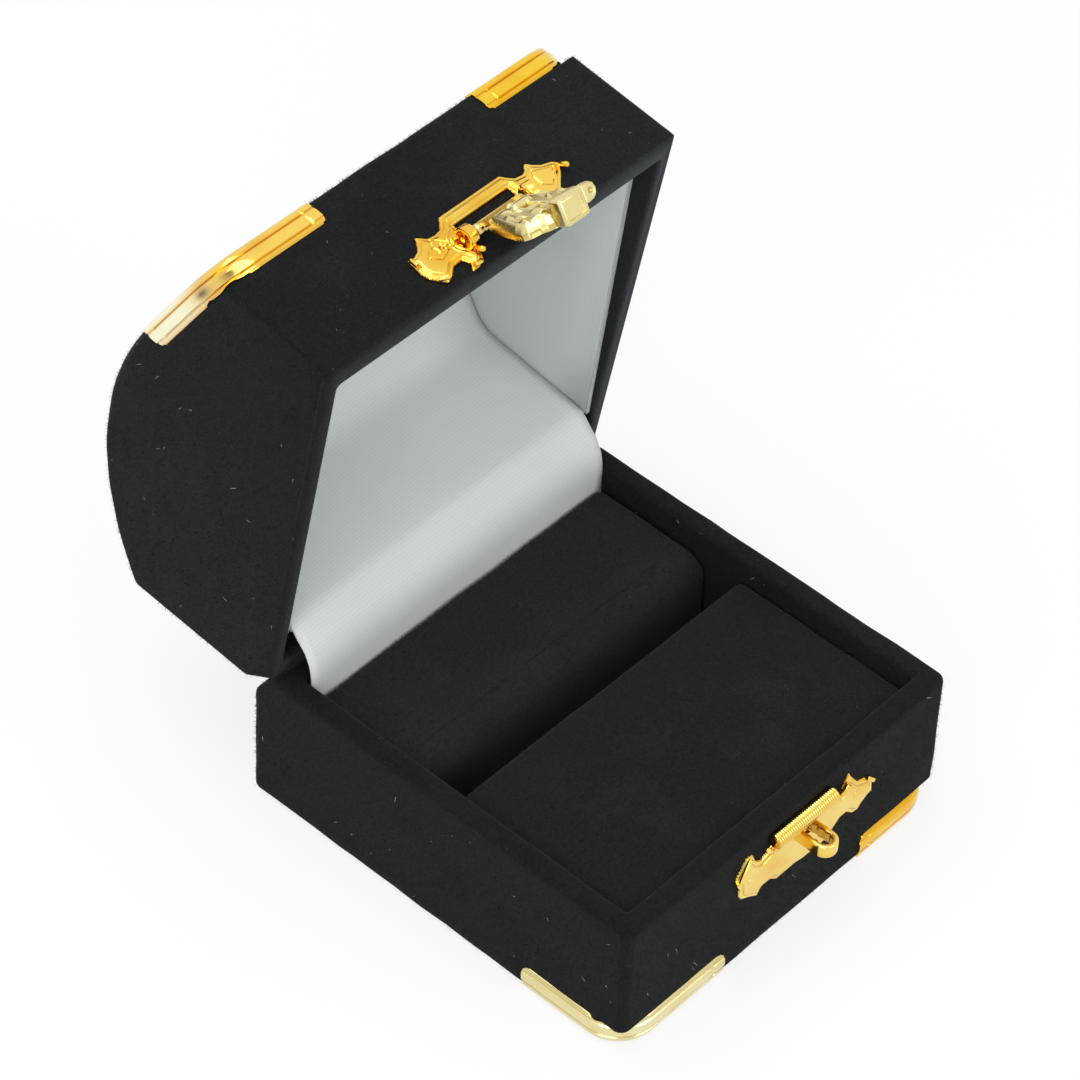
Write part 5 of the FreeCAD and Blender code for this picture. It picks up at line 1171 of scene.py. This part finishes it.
# ---------------------------------------------------------------------------
# Studio: a plain white table, soft lamps all round, and the camera. Table and
# backdrop look white to the eye and in the brass, but light the box less.
# ---------------------------------------------------------------------------

def greater(tree, first, second):
    """The greater of two values."""
    return node(tree, "ShaderNodeMath", {0: first, 1: second}, operation="MAXIMUM").outputs["Value"]


def blended_out(tree, share, first, second, output):
    """Blend two shaders by a share and give the blend to the output node."""
    blend = node(tree, "ShaderNodeMixShader", {0: share, 1: first, 2: second}).outputs["Shader"]
    fill(tree, tree.nodes[output].inputs, {"Surface": blend})


scene = bpy.context.scene
scene.view_settings.view_transform = "Standard"
WHITE = (1, 1, 1)

table_finish, tree, shader = new_finish("white_table")
fill(tree, shader.inputs, {"Base Color": (0.86, 0.86, 0.86), "Roughness": 0.9})
seen = node(tree, "ShaderNodeLightPath").outputs
glow = node(tree, "ShaderNodeEmission", {"Color": WHITE, "Strength": 1.0}).outputs["Emission"]
shown = greater(tree, seen["Is Camera Ray"], seen["Is Glossy Ray"])
shown = node(tree, "ShaderNodeMath", {0: shown, 1: 0.80}, operation="MULTIPLY").outputs["Value"]
blended_out(tree, shown, shader.outputs["BSDF"], glow, "Material Output")
TABLE_HALF = 900
table = piece("table", [(x * TABLE_HALF, y * TABLE_HALF, 0) for x, y in ((-1, -1), (1, -1), (1, 1), (-1, 1))],
              [(0, 1, 2, 3)], table_finish)
table.data.transform(Matrix.Translation((0, 0, -0.0003)))

world = bpy.data.worlds.new("studio")
scene.world = world
world.use_nodes = True
tree = world.node_tree
room = tree.nodes["Background"]
fill(tree, room.inputs, {"Color": WHITE, "Strength": 0.53})
seen = node(tree, "ShaderNodeLightPath").outputs
backdrop = node(tree, "ShaderNodeBackground", {"Color": WHITE, "Strength": 1.0}).outputs["Background"]
shown = greater(tree, greater(tree, seen["Is Camera Ray"], seen["Is Glossy Ray"]), seen["Is Transmission Ray"])
blended_out(tree, shown, room.outputs["Background"], backdrop, "World Output")

for name, place, power, size in (("lamp_left", (-0.50, -0.20, 0.40), 1.2, 0.35),
                                 ("lamp_front", (0.12, -0.60, 0.40), 1.05, 0.35),
                                 ("lamp_top", (-0.08, 0.12, 0.60), 2.0, 0.45)):
    light = bpy.data.lights.new(name, "AREA")
    light.energy, light.size = power, size
    lamp = bpy.data.objects.new(name, light)
    lamp.location = place
    lamp.rotation_euler = (-Vector(place)).to_track_quat("-Z", "Y").to_euler()
    scene.collection.objects.link(lamp)

# The camera stands back from the middle of the box, shifted a little and turned about its own line.
azimuth, elevation, roll = (math.radians(a) for a in (-49.409, 45.455, 2.898))
AIM, DISTANCE, SHIFT_RIGHT, SHIFT_UP = Vector((0, 0, 0.02112)), 0.4918, -0.00617, 0.01065
back = Vector((math.sin(azimuth) * math.cos(elevation), -math.cos(azimuth) * math.cos(elevation), math.sin(elevation)))
level = Vector((math.cos(azimuth), math.sin(azimuth), 0))
upright = back.cross(level)
right = math.cos(roll) * level + math.sin(roll) * upright
up = -math.sin(roll) * level + math.cos(roll) * upright
eye = bpy.data.cameras.new("camera")
eye.sensor_width, eye.lens = 36.0, 164.72
eye.clip_start, eye.clip_end = 0.01, 10
camera = bpy.data.objects.new("camera", eye)
place = AIM + back * DISTANCE + right * SHIFT_RIGHT + up * SHIFT_UP
camera.matrix_world = Matrix.Translation(place) @ Matrix((right, up, back)).transposed().to_4x4()
scene.collection.objects.link(camera)
scene.camera = camera
